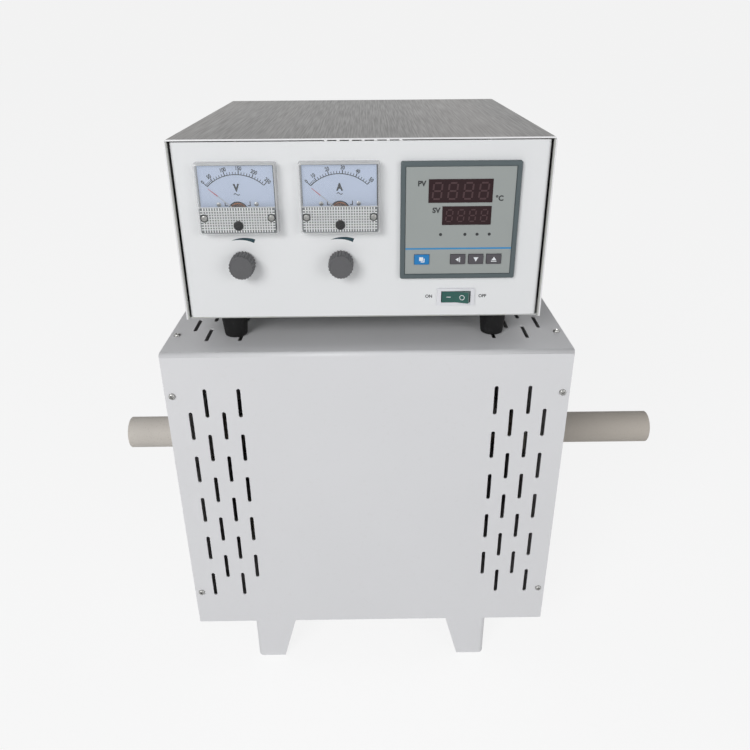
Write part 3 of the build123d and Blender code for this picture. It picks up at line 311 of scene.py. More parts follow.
dressed_as_they_are = (
    (casing_paint, "end_plate_left end_plate_right base_plate"), (inner_steel, "inner_shell"),
    (fibre_insulation, "insulation_lower insulation_upper"), (silicon_carbide, "heating_rods"),
    (link_aluminium, "rod_links"), (glazed_ceramic, "terminal_block"), (cover_metal, "controller_cover"),
    (controller_paint, "front_panel back_panel"), (zinc_plate, "chassis"),
    (meter_black, "voltmeter_case ammeter_case"), (dial_face, "voltmeter_dial ammeter_dial"),
    (shaft_brass, "coarse_shaft fine_shaft"), (component_steel, "potentiometers"),
    (frame_grey, "regulator_case"), (circuit_green, "regulator_board"), (film_grey, "regulator_face"),
    (window_red, "process_window setpoint_window"), (switch_white, "switch_frame"),
    (rocker_green, "switch_rocker"), (core_steel, "transformer"), (sink_aluminium, "heat_sink"),
    (module_black, "thyristor_module"),
)
for material, names in dressed_as_they_are:
    for node in names.split():
        slots = nodes[node].material_slots
        if not slots:
            nodes[node].data.materials.append(material)
        for slot in slots:
            slot.material = material


# Shapes


def mesh_of(bm, finishes):
    """Mesh with its finishes, in place of the bmesh it was built in."""
    mesh = bpy.data.meshes.new("shape")
    bm.to_mesh(mesh)
    bm.free()
    for material in finishes:
        mesh.materials.append(material)
    return mesh


def outwards(bm, material):
    """Mesh in one finish, its faces outwards, flat along the plane's axes and smooth on the rounds."""
    bmesh.ops.recalc_face_normals(bm, faces=bm.faces)
    mesh = mesh_of(bm, [material])
    for face in mesh.polygons:
        face.use_smooth = max(abs(n) for n in face.normal) < 0.9999
    mesh.set_sharp_from_angle(angle=radians(40))
    return mesh


def from_rings(rings, material, closed=False):
    """Skin through rings of points, each ring with as many points or with only one."""
    bm = bmesh.new()
    made = [[bm.verts.new(point) for point in ring] for ring in rings]
    for low, high in zip(made, made[1:] + made[:1] if closed else made[1:]):
        count = max(len(low), len(high))
        for k in range(count):
            j = (k + 1) % count
            corners = [low[k % len(low)], low[j % len(low)], high[j % len(high)], high[k % len(high)]]
            face = list(dict.fromkeys(corners))
            if len(face) > 2:
                bm.faces.new(face)
    if not closed:
        for ring in (made[0], made[-1]):
            if len(ring) > 2:
                bm.faces.new(ring)
    return outwards(bm, material)


def turned(profile, material, sides=48, closed=False, flute=None):
    """Turned piece from (radius, height) pairs; a flute function may change the radius round it."""
    rings = []
    for radius, height in profile:
        ring = []
        for k in range(sides if radius else 1):
            turn = 2 * pi * k / sides
            r = flute(radius, height, k) if flute else radius
            ring.append((r * cos(turn), r * sin(turn), height))
        rings.append(ring)
    return from_rings(rings, material, closed)


def quarter(steps):
    """Turns through a quarter circle in equal steps."""
    return [pi / 2 * k / steps for k in range(steps + 1)]


def rounded(width, height, radius, steps=5):
    """Points round a rectangle with round corners."""
    points = []
    for i, (sx, sy) in enumerate(((1, 1), (-1, 1), (-1, -1), (1, -1))):
        cx, cy = sx * (width / 2 - radius), sy * (height / 2 - radius)
        for turn in quarter(steps):
            turn += pi / 2 * i
            points.append((cx + radius * cos(turn), cy + radius * sin(turn)))
    return points


def at_level(outline, z):
    """Outline lifted to a height over the plane."""
    return [(x, y, z) for x, y in outline]


def slab(outline, low, high, material):
    """Outline with a thickness, between two heights over the plane."""
    return from_rings([at_level(outline, low), at_level(outline, high)], material)


def rounded_edge(width, height, corner, edge, top, tighter=0.0):
    """Rings that round a block's upper edge, its corners drawn in with them by a share."""
    rings = []
    for turn in quarter(4):
        inset = edge * (1 - cos(turn))
        outline = rounded(width - 2 * inset, height - 2 * inset, corner - tighter * inset)
        rings.append(at_level(outline, top - edge * (1 - sin(turn))))
    return rings


def lettering(text, height, material, weight):
    """Printed letters, a capital's height high, their strokes thickened, centred on the plane."""
    curve = bpy.data.curves.new("letters", "FONT")
    curve.body = text
    curve.size = height / 0.69
    curve.align_x = "CENTER"
    curve.align_y = "CENTER"
    curve.extrude = 0.015
    curve.offset = weight * height
    curve.resolution_u = 4
    letters = in_scene("letters", curve)
    graph = bpy.context.evaluated_depsgraph_get()
    mesh = bpy.data.meshes.new_from_object(letters.evaluated_get(graph), depsgraph=graph)
    bpy.data.objects.remove(letters)
    mesh.materials.clear()
    mesh.materials.append(material)
    return mesh


def joined(*parts):
    """One mesh from meshes and (mesh, place) pairs, each in its own finish."""
    bm = bmesh.new()
    finishes = []
    for part in parts:
        mesh, place = part if isinstance(part, tuple) else (part, Matrix.Identity(4))
        mesh.transform(place)
        for material in mesh.materials:
            if material not in finishes:
                finishes.append(material)
        here = [finishes.index(material) for material in mesh.materials]
        for face in mesh.polygons:
            face.material_index = here[min(face.material_index, len(here) - 1)]
        bm.from_mesh(mesh)
        bpy.data.meshes.remove(mesh)
    return mesh_of(bm, finishes)


def piece(name, mesh, body, stands_for=(), place=None):
    """A finished piece: it rides on a body, has a finish and may stand for CAD nodes."""
    mesh.name = name
    if place:
        mesh.transform(place)
    obj = in_scene(name, mesh)
    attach(obj, body)
    if stands_for:
        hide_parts(*stands_for)


# Geometry node trees


def new_tree(name, inputs):
    """Geometry tree with named inputs, each a number or a kind; returns it and what they give."""
    tree = bpy.data.node_groups.new(name, "GeometryNodeTree")
    tree.interface.new_socket("Geometry", in_out="INPUT", socket_type="NodeSocketGeometry")
    for label, value in inputs.items():
        kind = value if isinstance(value, str) else {float: "Float", int: "Int"}[type(value)]
        socket = tree.interface.new_socket(label, in_out="INPUT", socket_type="NodeSocket" + kind)
        if kind != value:
            socket.default_value = value
    tree.interface.new_socket("Geometry", in_out="OUTPUT", socket_type="NodeSocketGeometry")
    return tree, tree.nodes.new("NodeGroupInput").outputs


def together(tree, *parts):
    """Joins geometries."""
    node = add(tree, "GeometryNodeJoinGeometry")
    for part in parts:
        tree.links.new(part, node.inputs[0])
    return node.outputs[0]


def close_tree(tree, geometry, material):
    """Ends a tree with real geometry in its finish."""
    real = put(tree, "GeometryNodeRealizeInstances", {0: geometry})
    dressed = put(tree, "GeometryNodeSetMaterial", {"Geometry": real, "Material": material})
    add(tree, "NodeGroupOutput", {0: dressed})


def grown(tree, points, values):
    """Plain mesh that a tree makes from points."""
    base = bpy.data.meshes.new("points")
    base.from_pydata(points, [], [])
    seedbed = in_scene("seedbed", base)
    modifier = seedbed.modifiers.new("shape", "NODES")
    modifier.node_group = tree
    for item in tree.interface.items_tree:
        if item.in_out == "INPUT" and item.name in values:
            modifier[item.identifier] = values[item.name]
    graph = bpy.context.evaluated_depsgraph_get()
    mesh = bpy.data.meshes.new_from_object(seedbed.evaluated_get(graph), depsgraph=graph)
    seedbed.modifiers.remove(modifier)
    bpy.data.objects.remove(seedbed)
    return mesh


def slotted_sheet_tree():
    """Sheet in the plane, punched with a round-ended slot at every point and given its thickness."""
    tree, given = new_tree("slotted_sheet", {
        "Sheet Width": 100.0, "Sheet Height": 100.0, "Sheet Thickness": case_sheet,
        "Slot Length": 29.0, "Slot Width": 3.6, "End Steps": 8, "Finish": "Material",
    })
    sheet = put(tree, "GeometryNodeCurvePrimitiveQuadrilateral",
                {"Width": given["Sheet Width"], "Height": given["Sheet Height"]})
    slot = put(tree, "GeometryNodeCurvePrimitiveQuadrilateral",
               {"Width": given["Slot Width"], "Height": given["Slot Length"]})
    half = calc(tree, "MULTIPLY", given["Slot Width"], 0.499)
    slot = put(tree, "GeometryNodeFilletCurve",
               {"Curve": slot, "Radius": half, "Count": given["End Steps"]}, mode="POLY")
    slots = put(tree, "GeometryNodeInstanceOnPoints", {"Points": given["Geometry"], "Instance": slot})
    slots = put(tree, "GeometryNodeRealizeInstances", {0: slots})
    filled = put(tree, "GeometryNodeFillCurve", {0: together(tree, sheet, slots)})
    deep = calc(tree, "MULTIPLY", given["Sheet Thickness"], -1.0)
    pushed = put(tree, "GeometryNodeExtrudeMesh",
                 {"Mesh": filled, "Offset Scale": deep, "Individual": False}, mode="FACES")
    whole = together(tree, pushed, filled)
    merged = put(tree, "GeometryNodeMergeByDistance", {0: whole, "Distance": 0.001})
    close_tree(tree, merged, given["Finish"])
    return tree


def set_out_tree():
    """A copy of the template at every point, each turned by chance within a range."""
    inputs = {"Template": "Object", "Turn Range": 0.0, "Seed": 7, "Finish": "Material"}
    tree, given = new_tree("set_out", inputs)
    shape = add(tree, "GeometryNodeObjectInfo", {"Object": given["Template"]}).outputs["Geometry"]
    chance = add(tree, "FunctionNodeRandomValue", data_type="FLOAT")
    floats = [socket for socket in chance.inputs if socket.type == "VALUE" and socket.enabled]
    tree.links.new(given["Turn Range"], floats[1])
    floats[0].default_value = 0.0
    tree.links.new(given["Seed"], chance.inputs["Seed"])
    turn = [socket for socket in chance.outputs if socket.type == "VALUE" and socket.enabled][0]
    spin = put(tree, "ShaderNodeCombineXYZ", {"Z": turn})
    spun = put(tree, "FunctionNodeEulerToRotation", {0: spin})
    copies = put(tree, "GeometryNodeInstanceOnPoints",
                 {"Points": given["Geometry"], "Instance": shape, "Rotation": spun})
    close_tree(tree, copies, given["Finish"])
    return tree


def scale_tree():
    """Scale of a dial. A point's X is its angle from the top in degrees, its Y is 1 for a long line."""
    tree, given = new_tree("dial_scale", {
        "Radius": 32.8, "Short Line": 1.9, "Long Line": 2.9, "Line Width": 0.5, "Long Line Width": 0.72,
        "Finish": "Material",
    })
    axes = add(tree, "ShaderNodeSeparateXYZ", {0: put(tree, "GeometryNodeInputPosition")}).outputs
    turn = calc(tree, "MULTIPLY", axes[0], pi / 180)
    length = put(tree, "ShaderNodeMix", {0: axes[1], 2: given["Short Line"], 3: given["Long Line"]})
    width = put(tree, "ShaderNodeMix", {0: axes[1], 2: given["Line Width"], 3: given["Long Line Width"]})
    half = calc(tree, "MULTIPLY", length, 0.5)
    reach = calc(tree, "ADD", half, given["Radius"])
    x = calc(tree, "MULTIPLY", calc(tree, "SINE", turn), reach)
    y = calc(tree, "MULTIPLY", calc(tree, "COSINE", turn), reach)
    spot = put(tree, "ShaderNodeCombineXYZ", {"X": x, "Y": y})
    back = calc(tree, "MULTIPLY", turn, -1.0)
    spin = put(tree, "ShaderNodeCombineXYZ", {"Z": back})
    spun = put(tree, "FunctionNodeEulerToRotation", {0: spin})
    size = put(tree, "ShaderNodeCombineXYZ", {"X": width, "Y": length, "Z": 0.03})
    line = put(tree, "GeometryNodeMeshCube", {"Size": (1, 1, 1)})
    # The angle is read while the point still stands where it was given
    kept = add(tree, "GeometryNodeStoreNamedAttribute",
               {"Geometry": given["Geometry"], "Name": "spot"}, data_type="FLOAT_VECTOR", domain="POINT")
    vectors = [socket for socket in kept.inputs if socket.name == "Value" and socket.enabled]
    tree.links.new(spot, vectors[0])
    lines = put(tree, "GeometryNodeInstanceOnPoints",
                {"Points": kept.outputs[0], "Instance": line, "Rotation": spun, "Scale": size})
    named = add(tree, "GeometryNodeInputNamedAttribute", {"Name": "spot"}, data_type="FLOAT_VECTOR")
    value = [socket for socket in named.outputs if socket.name == "Attribute" and socket.enabled][0]
    moved = put(tree, "GeometryNodeSetPosition", {"Geometry": lines, "Position": value})
    close_tree(tree, moved, given["Finish"])
    return tree


def bars_tree():
    """A bar at every point. Its place is the point's X and Y, and it stands upright where Z is above 0."""
    tree, given = new_tree("bars", {
        "Bar Length": 10.0, "Upright Length": 10.0, "Bar Width": 1.0, "Bar Height": 0.2, "Level": 0.0,
        "Finish": "Material",
    })
    axes = add(tree, "ShaderNodeSeparateXYZ", {0: put(tree, "GeometryNodeInputPosition")}).outputs
    upright = calc(tree, "GREATER_THAN", axes[2], 0.5)
    wide = put(tree, "ShaderNodeMix", {0: upright, 2: given["Bar Length"], 3: given["Bar Width"]})
    tall = put(tree, "ShaderNodeMix", {0: upright, 2: given["Bar Width"], 3: given["Upright Length"]})
    size = put(tree, "ShaderNodeCombineXYZ", {"X": wide, "Y": tall, "Z": given["Bar Height"]})
    bar = put(tree, "GeometryNodeMeshCube", {"Size": (1, 1, 1)})
    bars = put(tree, "GeometryNodeInstanceOnPoints",
               {"Points": given["Geometry"], "Instance": bar, "Scale": size})
    drop = calc(tree, "MULTIPLY", upright, -1.0)
    drop = calc(tree, "ADD", drop, given["Level"])
    lift = put(tree, "ShaderNodeCombineXYZ", {"Z": drop})
    moved = put(tree, "GeometryNodeTranslateInstances", {"Instances": bars, "Translation": lift})
    moved.node.inputs["Local Space"].default_value = False
    close_tree(tree, moved, given["Finish"])
    return tree


def spiral_tree():
    """Flat spiral of thin strip."""
    inputs = {"Turns": 4.5, "Inner Radius": 1.2, "Outer Radius": 6.2, "Strip": 0.14, "Finish": "Material"}
    tree, given = new_tree("hairspring", inputs)
    line = put(tree, "GeometryNodeCurveSpiral", {
        "Resolution": 20, "Rotations": given["Turns"], "Start Radius": given["Inner Radius"],
        "End Radius": given["Outer Radius"], "Height": 0.0,
    })
    strip = put(tree, "GeometryNodeCurvePrimitiveQuadrilateral",
                {"Width": given["Strip"], "Height": given["Strip"]})
    swept = put(tree, "GeometryNodeCurveToMesh", {0: line, 1: strip, "Fill Caps": True})
    close_tree(tree, swept, given["Finish"])
    return tree


slotted_sheet = slotted_sheet_tree()
set_out = set_out_tree()
dial_scale = scale_tree()
bars = bars_tree()
hairspring = spiral_tree()


def copies(template, places, material, turn=0.0, seed=7):
    """Copies of a template mesh at places in a plane."""
    holder = in_scene("template", template)
    values = {"Template": holder, "Turn Range": turn, "Seed": seed, "Finish": material}
    points = [(p[0], p[1], p[2] if len(p) > 2 else 0.0) for p in places]
    mesh = grown(set_out, points, values)
    bpy.data.objects.remove(holder)
    return mesh


# Furnace casing


def casing_cover():
    """Front, top and back of the casing, folded from one slotted sheet."""
    half = case_high.x
    depth = case_high.y - case_low.y
    case_height = case_high.z - case_low.z
    flat_height = case_height - case_bend
    flat_depth = depth - 2 * case_bend
    first_column, column_pitch, margins, slot_rise = 20.5, 15.0, 76.75, 1.3
    columns = [half - first_column - column_pitch * i for i in range(4)]
    pitch = (case_height - margins) / 5
    middle_z = case_low.z + case_height / 2
    flat_middle = case_low.z + flat_height / 2
    front, back, top = [], [], []
    for i, column in enumerate(columns):
        rise = middle_z + slot_rise + pitch / 4 * (1 if i % 2 else -1) - flat_middle
        for side in (-1, 1):
            rows = [(side * column, rise + pitch * (k - 2)) for k in range(5)]
            front += rows
            if i % 2 == 0:
                back += rows
            count = 5 + i % 2
            top += [(side * column, pitch * (k - (count - 1) / 2)) for k in range(count)]
    bm = bmesh.new()
    for height, slots, place in (
        (flat_height, front, facing((0, case_low.y, flat_middle), (0, -1, 0))),
        (flat_height, back, facing((0, case_high.y, flat_middle), (0, 1, 0))),
        (flat_depth, top, facing((0, 0, case_high.z), (0, 0, 1), (0, 1, 0))),
    ):
        values = {"Sheet Width": 2 * half, "Sheet Height": height, "Finish": casing_paint}
        mesh = grown(slotted_sheet, [(x, y, 0) for x, y in slots], values)
        mesh.transform(place)
        bm.from_mesh(mesh)
        bpy.data.meshes.remove(mesh)
    # The flats' edge faces at the bends go, and the bends close the gap
    fold_z = (case_high.z - case_bend) / 1000
    fold_y = (case_high.y - case_bend) / 1000
    spare = []
    for face in bm.faces:
        off_z = max(abs(v.co.z - fold_z) for v in face.verts)
        off_y = max(abs(abs(v.co.y) - fold_y) for v in face.verts)
        if min(off_z, off_y) < 1e-5:
            spare.append(face)
    bmesh.ops.delete(bm, geom=spare, context="FACES_ONLY")
    for face in bm.faces:
        face.smooth = False
    steps = 8
    for side in (-1, 1):
        rows = []
        for radius in (case_bend, case_bend - case_sheet):
            for turn in quarter(steps):
                y = side * (case_high.y - case_bend + radius * cos(turn))
                z = case_high.z - case_bend + radius * sin(turn)
                rows.append([bm.verts.new((x * half / 1000, y / 1000, z / 1000)) for x in (-1, 1)])
        outer, inner = rows[: steps + 1], rows[steps + 1 :]
        for k in range(steps):
            for strip in (outer, inner):
                bm.faces.new((strip[k][0], strip[k][1], strip[k + 1][1], strip[k + 1][0])).smooth = True
            for end in (0, 1):
                bm.faces.new((outer[k][end], outer[k + 1][end], inner[k + 1][end], inner[k][end]))
    bmesh.ops.remove_doubles(bm, verts=bm.verts, dist=2e-6)
    bmesh.ops.recalc_face_normals(bm, faces=bm.faces)
    return mesh_of(bm, [casing_paint])


piece("casing_cover", casing_cover(), "furnace", ["furnace_cover"])


def leg(node):
    """Folded leg with a round bend and free edges that slant in to the foot, flanged at the top."""
    low, high = corners(node)
    width, foot, sheet, bend, height = 42.5, 28.7, 2.0, 5.0, high.z - low.z
    sx = 1 if middle(node).x < 0 else -1
    sy = 1 if middle(node).y < 0 else -1
    corner = (low.x if sx > 0 else high.x, low.y if sy > 0 else high.y)

    def line(inset, free):
        radius = bend - inset
        arc = [(inset + radius * (1 - sin(t)), inset + radius * (1 - cos(t))) for t in quarter(8)]
        return [(free, inset)] + arc + [(inset, free)]

    def section(free, z):
        return at_level(line(0, free) + line(sheet, free)[::-1], z)

    walls = from_rings([section(foot, 0), section(width - 0.05, height - sheet - 0.05)], casing_paint)
    outline = line(0, width)[1:-1]
    flange = slab([(width, 0)] + outline + [(0, width), (width, width)], height - sheet, height, casing_paint)
    made = joined(walls, flange)
    place = moved_by((corner[0], corner[1], low.z)) @ Matrix.Diagonal((sx, sy, 1, 1))
    made.transform(MILLIMETRE @ place)
    if sx * sy < 0:
        made.flip_normals()
    return made


for side in ("front_left", "front_right", "rear_left", "rear_right"):
    piece("folded_leg_" + side, leg("leg_" + side), "furnace", ["leg_" + side])


def pan_head(radius, height, shank, length):
    """Pan-head screw with a cross recess."""
    sides, wing = 24, 0.58 * radius
    arm = wing * tan(radians(15))

    def cross(z, scale=1.0):
        ring = []
        for k in range(sides):
            turn = 2 * pi * k / sides
            part = abs(((turn + pi / 4) % (pi / 2)) - pi / 4)
            r = wing / cos(part) if part < radians(15.1) else arm / sin(part)
            ring.append((scale * r * cos(turn), scale * r * sin(turn), z))
        return ring

    def circle(r, z):
        return [(r * cos(2 * pi * k / sides), r * sin(2 * pi * k / sides), z) for k in range(sides)]

    rings = [[(0, 0, -length)], circle(shank, -length), circle(shank, 0), circle(radius, 0)]
    rings += [circle(radius, 0.45 * height), circle(0.94 * radius, 0.72 * height)]
    rings += [circle(0.80 * radius, 0.92 * height), circle(0.66 * radius, height), cross(height)]
    rings += [cross(0.42 * height, 0.72), [(0, 0, 0.36 * height)]]
    return from_rings(rings, screw_steel)


def casing_screw_set():
    """All of the casing's screws in one mesh."""
    edge, corner, bolt_circle = 6.5, 41.0, 35.5
    xs = (-case_high.x + edge, case_high.x - edge)
    zs = (case_low.z + corner, case_high.z - corner)
    ys = (case_low.y + corner, case_high.y - corner)
    template = pan_head(3.0, 2.0, 1.5, 6.0)
    template_long = pan_head(3.0, 2.0, 1.5, 12.0)
    flats = [
        (facing((0, case_low.y, 0), (0, -1, 0)), [(x, z) for x in xs for z in zs], template, 1),
        (facing((0, case_high.y, 0), (0, 1, 0)), [(x, z) for x in xs for z in zs], template, 2),
        (facing((0, 0, case_high.z), (0, 0, 1), (0, 1, 0)), [(x, y) for x in xs for y in ys], template, 3),
    ]
    ring = [(bolt_circle * sin(radians(t)), bolt_circle * cos(radians(t))) for t in (0, 120, 240)]
    for side in (-1, 1):
        flats.append((facing((side * collar_x, 0, tube_z), (side, 0, 0)), ring, template_long, 5 + side))
    return joined(*[(copies(shape, spots, screw_steel, 1.5, seed), place)
                    for place, spots, shape, seed in flats])


piece("casing_screw_set", casing_screw_set(), "furnace", ["casing_screws"])

# Ceramic collars and the work tube
collar_profile = [
    (18.05, -14), (27.4, -14), (28, -13.4), (28, 0), (42, 0), (42, 4.6), (41.6, 5.5), (40.7, 6),
    (19.4, 6), (18.5, 5.6), (18.05, 4.7),
]
collar_depth = 6
collars = [(turned(collar_profile, collar_ceramic, sides=72, closed=True),
            facing((side * (collar_x - collar_depth), 0, tube_z), (side, 0, 0))) for side in (-1, 1)]
piece("ceramic_collars", joined(*collars), "furnace", ["end_collars"])

low, high = corners("work_tube")
tube_half = (high.x - low.x) / 2
tube_profile = [
    (14.75, -tube_half + 0.5), (15.2, -tube_half), (17.3, -tube_half), (17.75, -tube_half + 0.5),
    (17.75, 0), (17.75, tube_half - 0.5), (17.3, tube_half), (15.2, tube_half),
    (14.75, tube_half - 0.5), (14.75, 0),
]
tube = turned(tube_profile, tube_ceramic, sides=96, closed=True)
piece("ceramic_tube", tube, "work_tube", ["work_tube"],
      place=facing((middle("work_tube").x, 0, tube_z), (1, 0, 0)))

# Thermocouple: sheath, flange and a ribbed head
head_profile = [(0, -137.0), (3.0, -137.0), (3.0, 0), (14, 0), (14, 2.4), (13.4, 3), (10, 3), (10, 5)]
for k in range(5):
    base = 5.0 + 2.6 * k
    head_profile += [(9.3, base + 0.4), (9.3, base + 1.4), (10, base + 1.8), (10, base + 2.6)]
head_profile += [(10, 21), (9.4, 22.4), (8.0, 23), (0, 23)]
probe = turned(head_profile, probe_steel, sides=40)
piece("thermocouple_probe", probe, "furnace", ["thermocouple"],
      place=facing((0, case_high.y, tube_z), (0, 1, 0)))


gland_radius = 9


def gland(wall):
    """Cable gland: lock nut, thread, hexagon and a domed cap with a round opening."""

    def hexagon(low, high):
        full, less = gland_radius, gland_radius - 0.6
        profile = [(4.2, low), (less, low), (full, low + 0.6), (full, high - 0.6), (less, high), (4.2, high)]
        return turned(profile, gland_nylon, sides=6, closed=True)

    thread_profile = [(4.0, -wall - 4.6)]
    steps = int((wall + 4) / 0.8)
    for k in range(steps + 1):
        thread_profile += [(5.6, -wall - 4.6 + 0.8 * k), (6.0, -wall - 4.2 + 0.8 * k)]
    thread_profile += [(6.0, 0.2), (4.0, 0.2)]
    thread = turned(thread_profile, gland_nylon, sides=32, closed=True)
    dome = [(4.0, 6), (7.2, 6), (7.2, 10.5), (6.9, 12.2), (6.0, 13.5), (5.0, 14), (4.3, 14), (4.0, 13.7)]
    cap = turned(dome, gland_nylon, sides=48, closed=True,
                 flute=lambda r, h, k: r - (0.35 if r > 6.5 and k % 4 == 0 else 0.0))
    return joined(hexagon(0, 6), hexagon(-wall - 4, -wall), thread, cap)


piece("furnace_cable_gland", copies(gland(1.2), [(0, 0)], gland_nylon), "furnace",
      ["furnace_gland"], place=on_back("furnace_gland", case_high.y))

low, high = corners("controller_glands")
spread = (high.x - low.x) / 2 - gland_radius
made = copies(gland(1.2), [(-spread, 0), (spread, 0)], gland_nylon)
piece("controller_cable_glands", made, "controller", ["controller_glands"],
      place=on_back("controller_glands", back_y))

# Fuse holder with a fluted cap
cap_profile = [
    (0, -32), (5.8, -32), (6.2, -31.5), (6.2, 0), (8.5, 0), (8.5, 1.6), (7.7, 1.7), (7.7, 7.6),
    (7.2, 8.6), (6.2, 9), (1.6, 9), (1.4, 8.2), (0, 8.2),
]
fuse = turned(cap_profile, module_black, sides=72,
              flute=lambda r, h, k: r - (0.35 if 1.65 < h < 8.7 and r > 7 and k % 4 < 2 else 0.0))
piece("fuse_cap", fuse, "controller", ["fuse_holder"],
      place=on_back("fuse_holder", back_y))

# Turned-in edges of the controller's cover beside the front panel, in a light grey that is a painted
# highlight
lip_width, lip_depth = cover_sheet, 2.6
cover_middle = (cover_low + cover_high) / 2
lip_height = cover_high.z - cover_sheet - cover_low.z
lip_place = Vector((cover_middle.x, 0, cover_low.z + lip_height / 2))
lips = []
for side in (-1, 1):
    strip = slab(rounded(lip_width, lip_height, 0.15, 2), 0.0, lip_depth, lip_painted_highlight)
    reach = (cover_high.x - cover_low.x) / 2 - cover_sheet - lip_width / 2
    lips.append((strip, on_panel(lip_place, side * reach, 0, panel_y - cover_low.y - lip_depth)))
piece("cover_lips", joined(*lips), "controller")

# Rubber feet and the controller's side screws
foot_radius = 12.5
foot_profile = [
    (0, 0), (foot_radius, 0), (12.4, -1.2), (10.2, -23.4), (9.8, -24.8), (8.9, -25.4), (5.2, -25.4),
    (4.9, -24.9), (4.9, -19.4), (0, -19.4),
]
foot = turned(foot_profile, foot_rubber, sides=48)
low, high = corners("rubber_feet")
spots = [(x, y, high.z) for x in (low.x + foot_radius, high.x - foot_radius)
         for y in (low.y + foot_radius, high.y - foot_radius)]
piece("rubber_feet_turned", copies(foot, spots, foot_rubber), "controller", ["rubber_feet"],
      place=MILLIMETRE)

parts = []
screw_inset, screw_rise = 40.0, 8.0
for side in (-1, 1):
    template = pan_head(3.0, 2.0, 1.5, 6.0)
    reach = (cover_high.y - cover_low.y) / 2 - screw_inset
    plane_x = cover_high.x if side > 0 else cover_low.x
    place = facing((plane_x, cover_middle.y, cover_low.z + screw_rise), (side, 0, 0))
    parts.append((copies(template, [(-reach, 0), (reach, 0)], screw_steel, 1.5, 11 + side), place))
piece("controller_screw_set", joined(*parts), "controller", ["controller_screws"])


# Panel meters

# Heights on a meter's front, from its middle, and the dial's level over the panel
pivot_height, scale_height, adjuster_height = -10.6, -13.7, -20.4
dial_level = 5.8
screw_side, screw_height = 26.8, -14.2
arc_inner, arc_outer, number_radius = 32.3, 32.9, 37.3


def scale_angle(share):
    """Angle from the top in degrees at a share of the scale, closer together in its first fifth."""
    return -44 + 52.5 * share if share < 0.2 else -33.5 + 94.8 * (share - 0.2)


def dial_marks(step, letter):
    """Scale lines, arc, numbers and unit printed on a dial, drawn about the arc's middle."""
    lines = [(scale_angle(i / 25), 1.0 if i % 5 == 0 else 0.0, 0.0) for i in range(26)]
    parts = [(grown(dial_scale, lines, {"Finish": dial_ink}), moved_by((0, 0, 0.02)))]
    steps = 40
    band = []
    for k in range(steps + 1):
        turn = radians(scale_angle(0) + (scale_angle(1) - scale_angle(0)) * k / steps)
        edge = ((arc_inner, 0.0), (arc_inner, 0.04), (arc_outer, 0.04), (arc_outer, 0.0))
        band.append([(r * sin(turn), r * cos(turn), z) for r, z in edge])
    parts.append(from_rings(band, dial_ink))
    for i in range(6):
        turn = radians(scale_angle(i / 5))
        spot = (number_radius * sin(turn), number_radius * cos(turn), 0.02)
        place = moved_by(spot) @ turned_by(-turn, 4, "Z")
        parts.append((lettering(str(step * i), 2.9, dial_ink, 0.05), place @ Matrix.Diagonal((0.8, 1, 1, 1))))
    place = moved_by((0, 22.1, 0.02)) @ Matrix.Diagonal((0.85, 1, 1, 1))
    parts.append((lettering(letter, 5.2, dial_ink, 0.09), place))
    wave = [(2.4 * (k / 12 - 0.5) * 2, 0.6 * sin(2 * pi * k / 12)) for k in range(13)]
    outline = [(x, y + 0.36) for x, y in wave] + [(x, y - 0.36) for x, y in wave[::-1]]
    parts.append((slab(outline, 0.0, 0.04, dial_ink), moved_by((0, 17.2, 0))))
    for side in (-1, 1):
        bracket = [(0, 0), (0, 3.6), (0.7, 3.6), (0.7, 0.7), (2.4, 0.7), (2.4, 0)]
        outline = [(-side * x, y) for x, y in bracket]
        parts.append((slab(outline, 0.0, 0.04, dial_ink), moved_by((side * 10.3, 7.9, 0))))
    return joined(*parts)


def window_shell():
    """Clear front: a shallow box with a rounded front edge and pale walls."""
    rings = [at_level(rounded(60.8, 52.8, 1.0), 9.0), at_level(rounded(60.8, 52.8, 1.0), 0.0)]
    rings += [at_level(rounded(64, 56, 1.2), 0.0)] + rounded_edge(64, 56, 1.2, 1.2, meter_front)
    shell = from_rings(rings, meter_rim)
    shell.materials.append(meter_pane)
    for face in shell.polygons:
        if abs(face.normal.z) > 0.99 and face.center.z > 8:
            face.material_index = 1
    return shell


def frosted_field():
    """Ribbed lower part of a meter's front, ribs both ways, the ribs lighter as a painted highlight and the
    ground darker as painted shade.
    """
    width, low, high, pitch = 60.0, -26.3, -5.8, 2.1
    centre, level = (low + high) / 2, meter_front + 0.12
    outline = [(x, y + centre) for x, y in rounded(width, high - low, 0.8)]
    field = slab(outline, meter_front, level, meter_frost_painted_shade)
    columns, rows = int(width / pitch) - 1, int((high - low) / pitch) - 1
    points = [(pitch * (i - (columns - 1) / 2), centre, 1.0) for i in range(columns)]
    points += [(0, centre + pitch * (i - (rows - 1) / 2), 0.0) for i in range(rows)]
    values = {
        "Bar Length": width - 1.0, "Upright Length": high - low - 1.0, "Bar Width": 0.85,
        "Bar Height": 0.25, "Level": level, "Finish": meter_rib_painted_highlight,
    }
    ribs = grown(bars, points, values)
    outline = [(x, y + high) for x, y in rounded(width + 0.6, 0.9, 0.3)]
    step = slab(outline, meter_front, meter_front + 0.4, meter_rim)
    return joined(field, ribs, step)


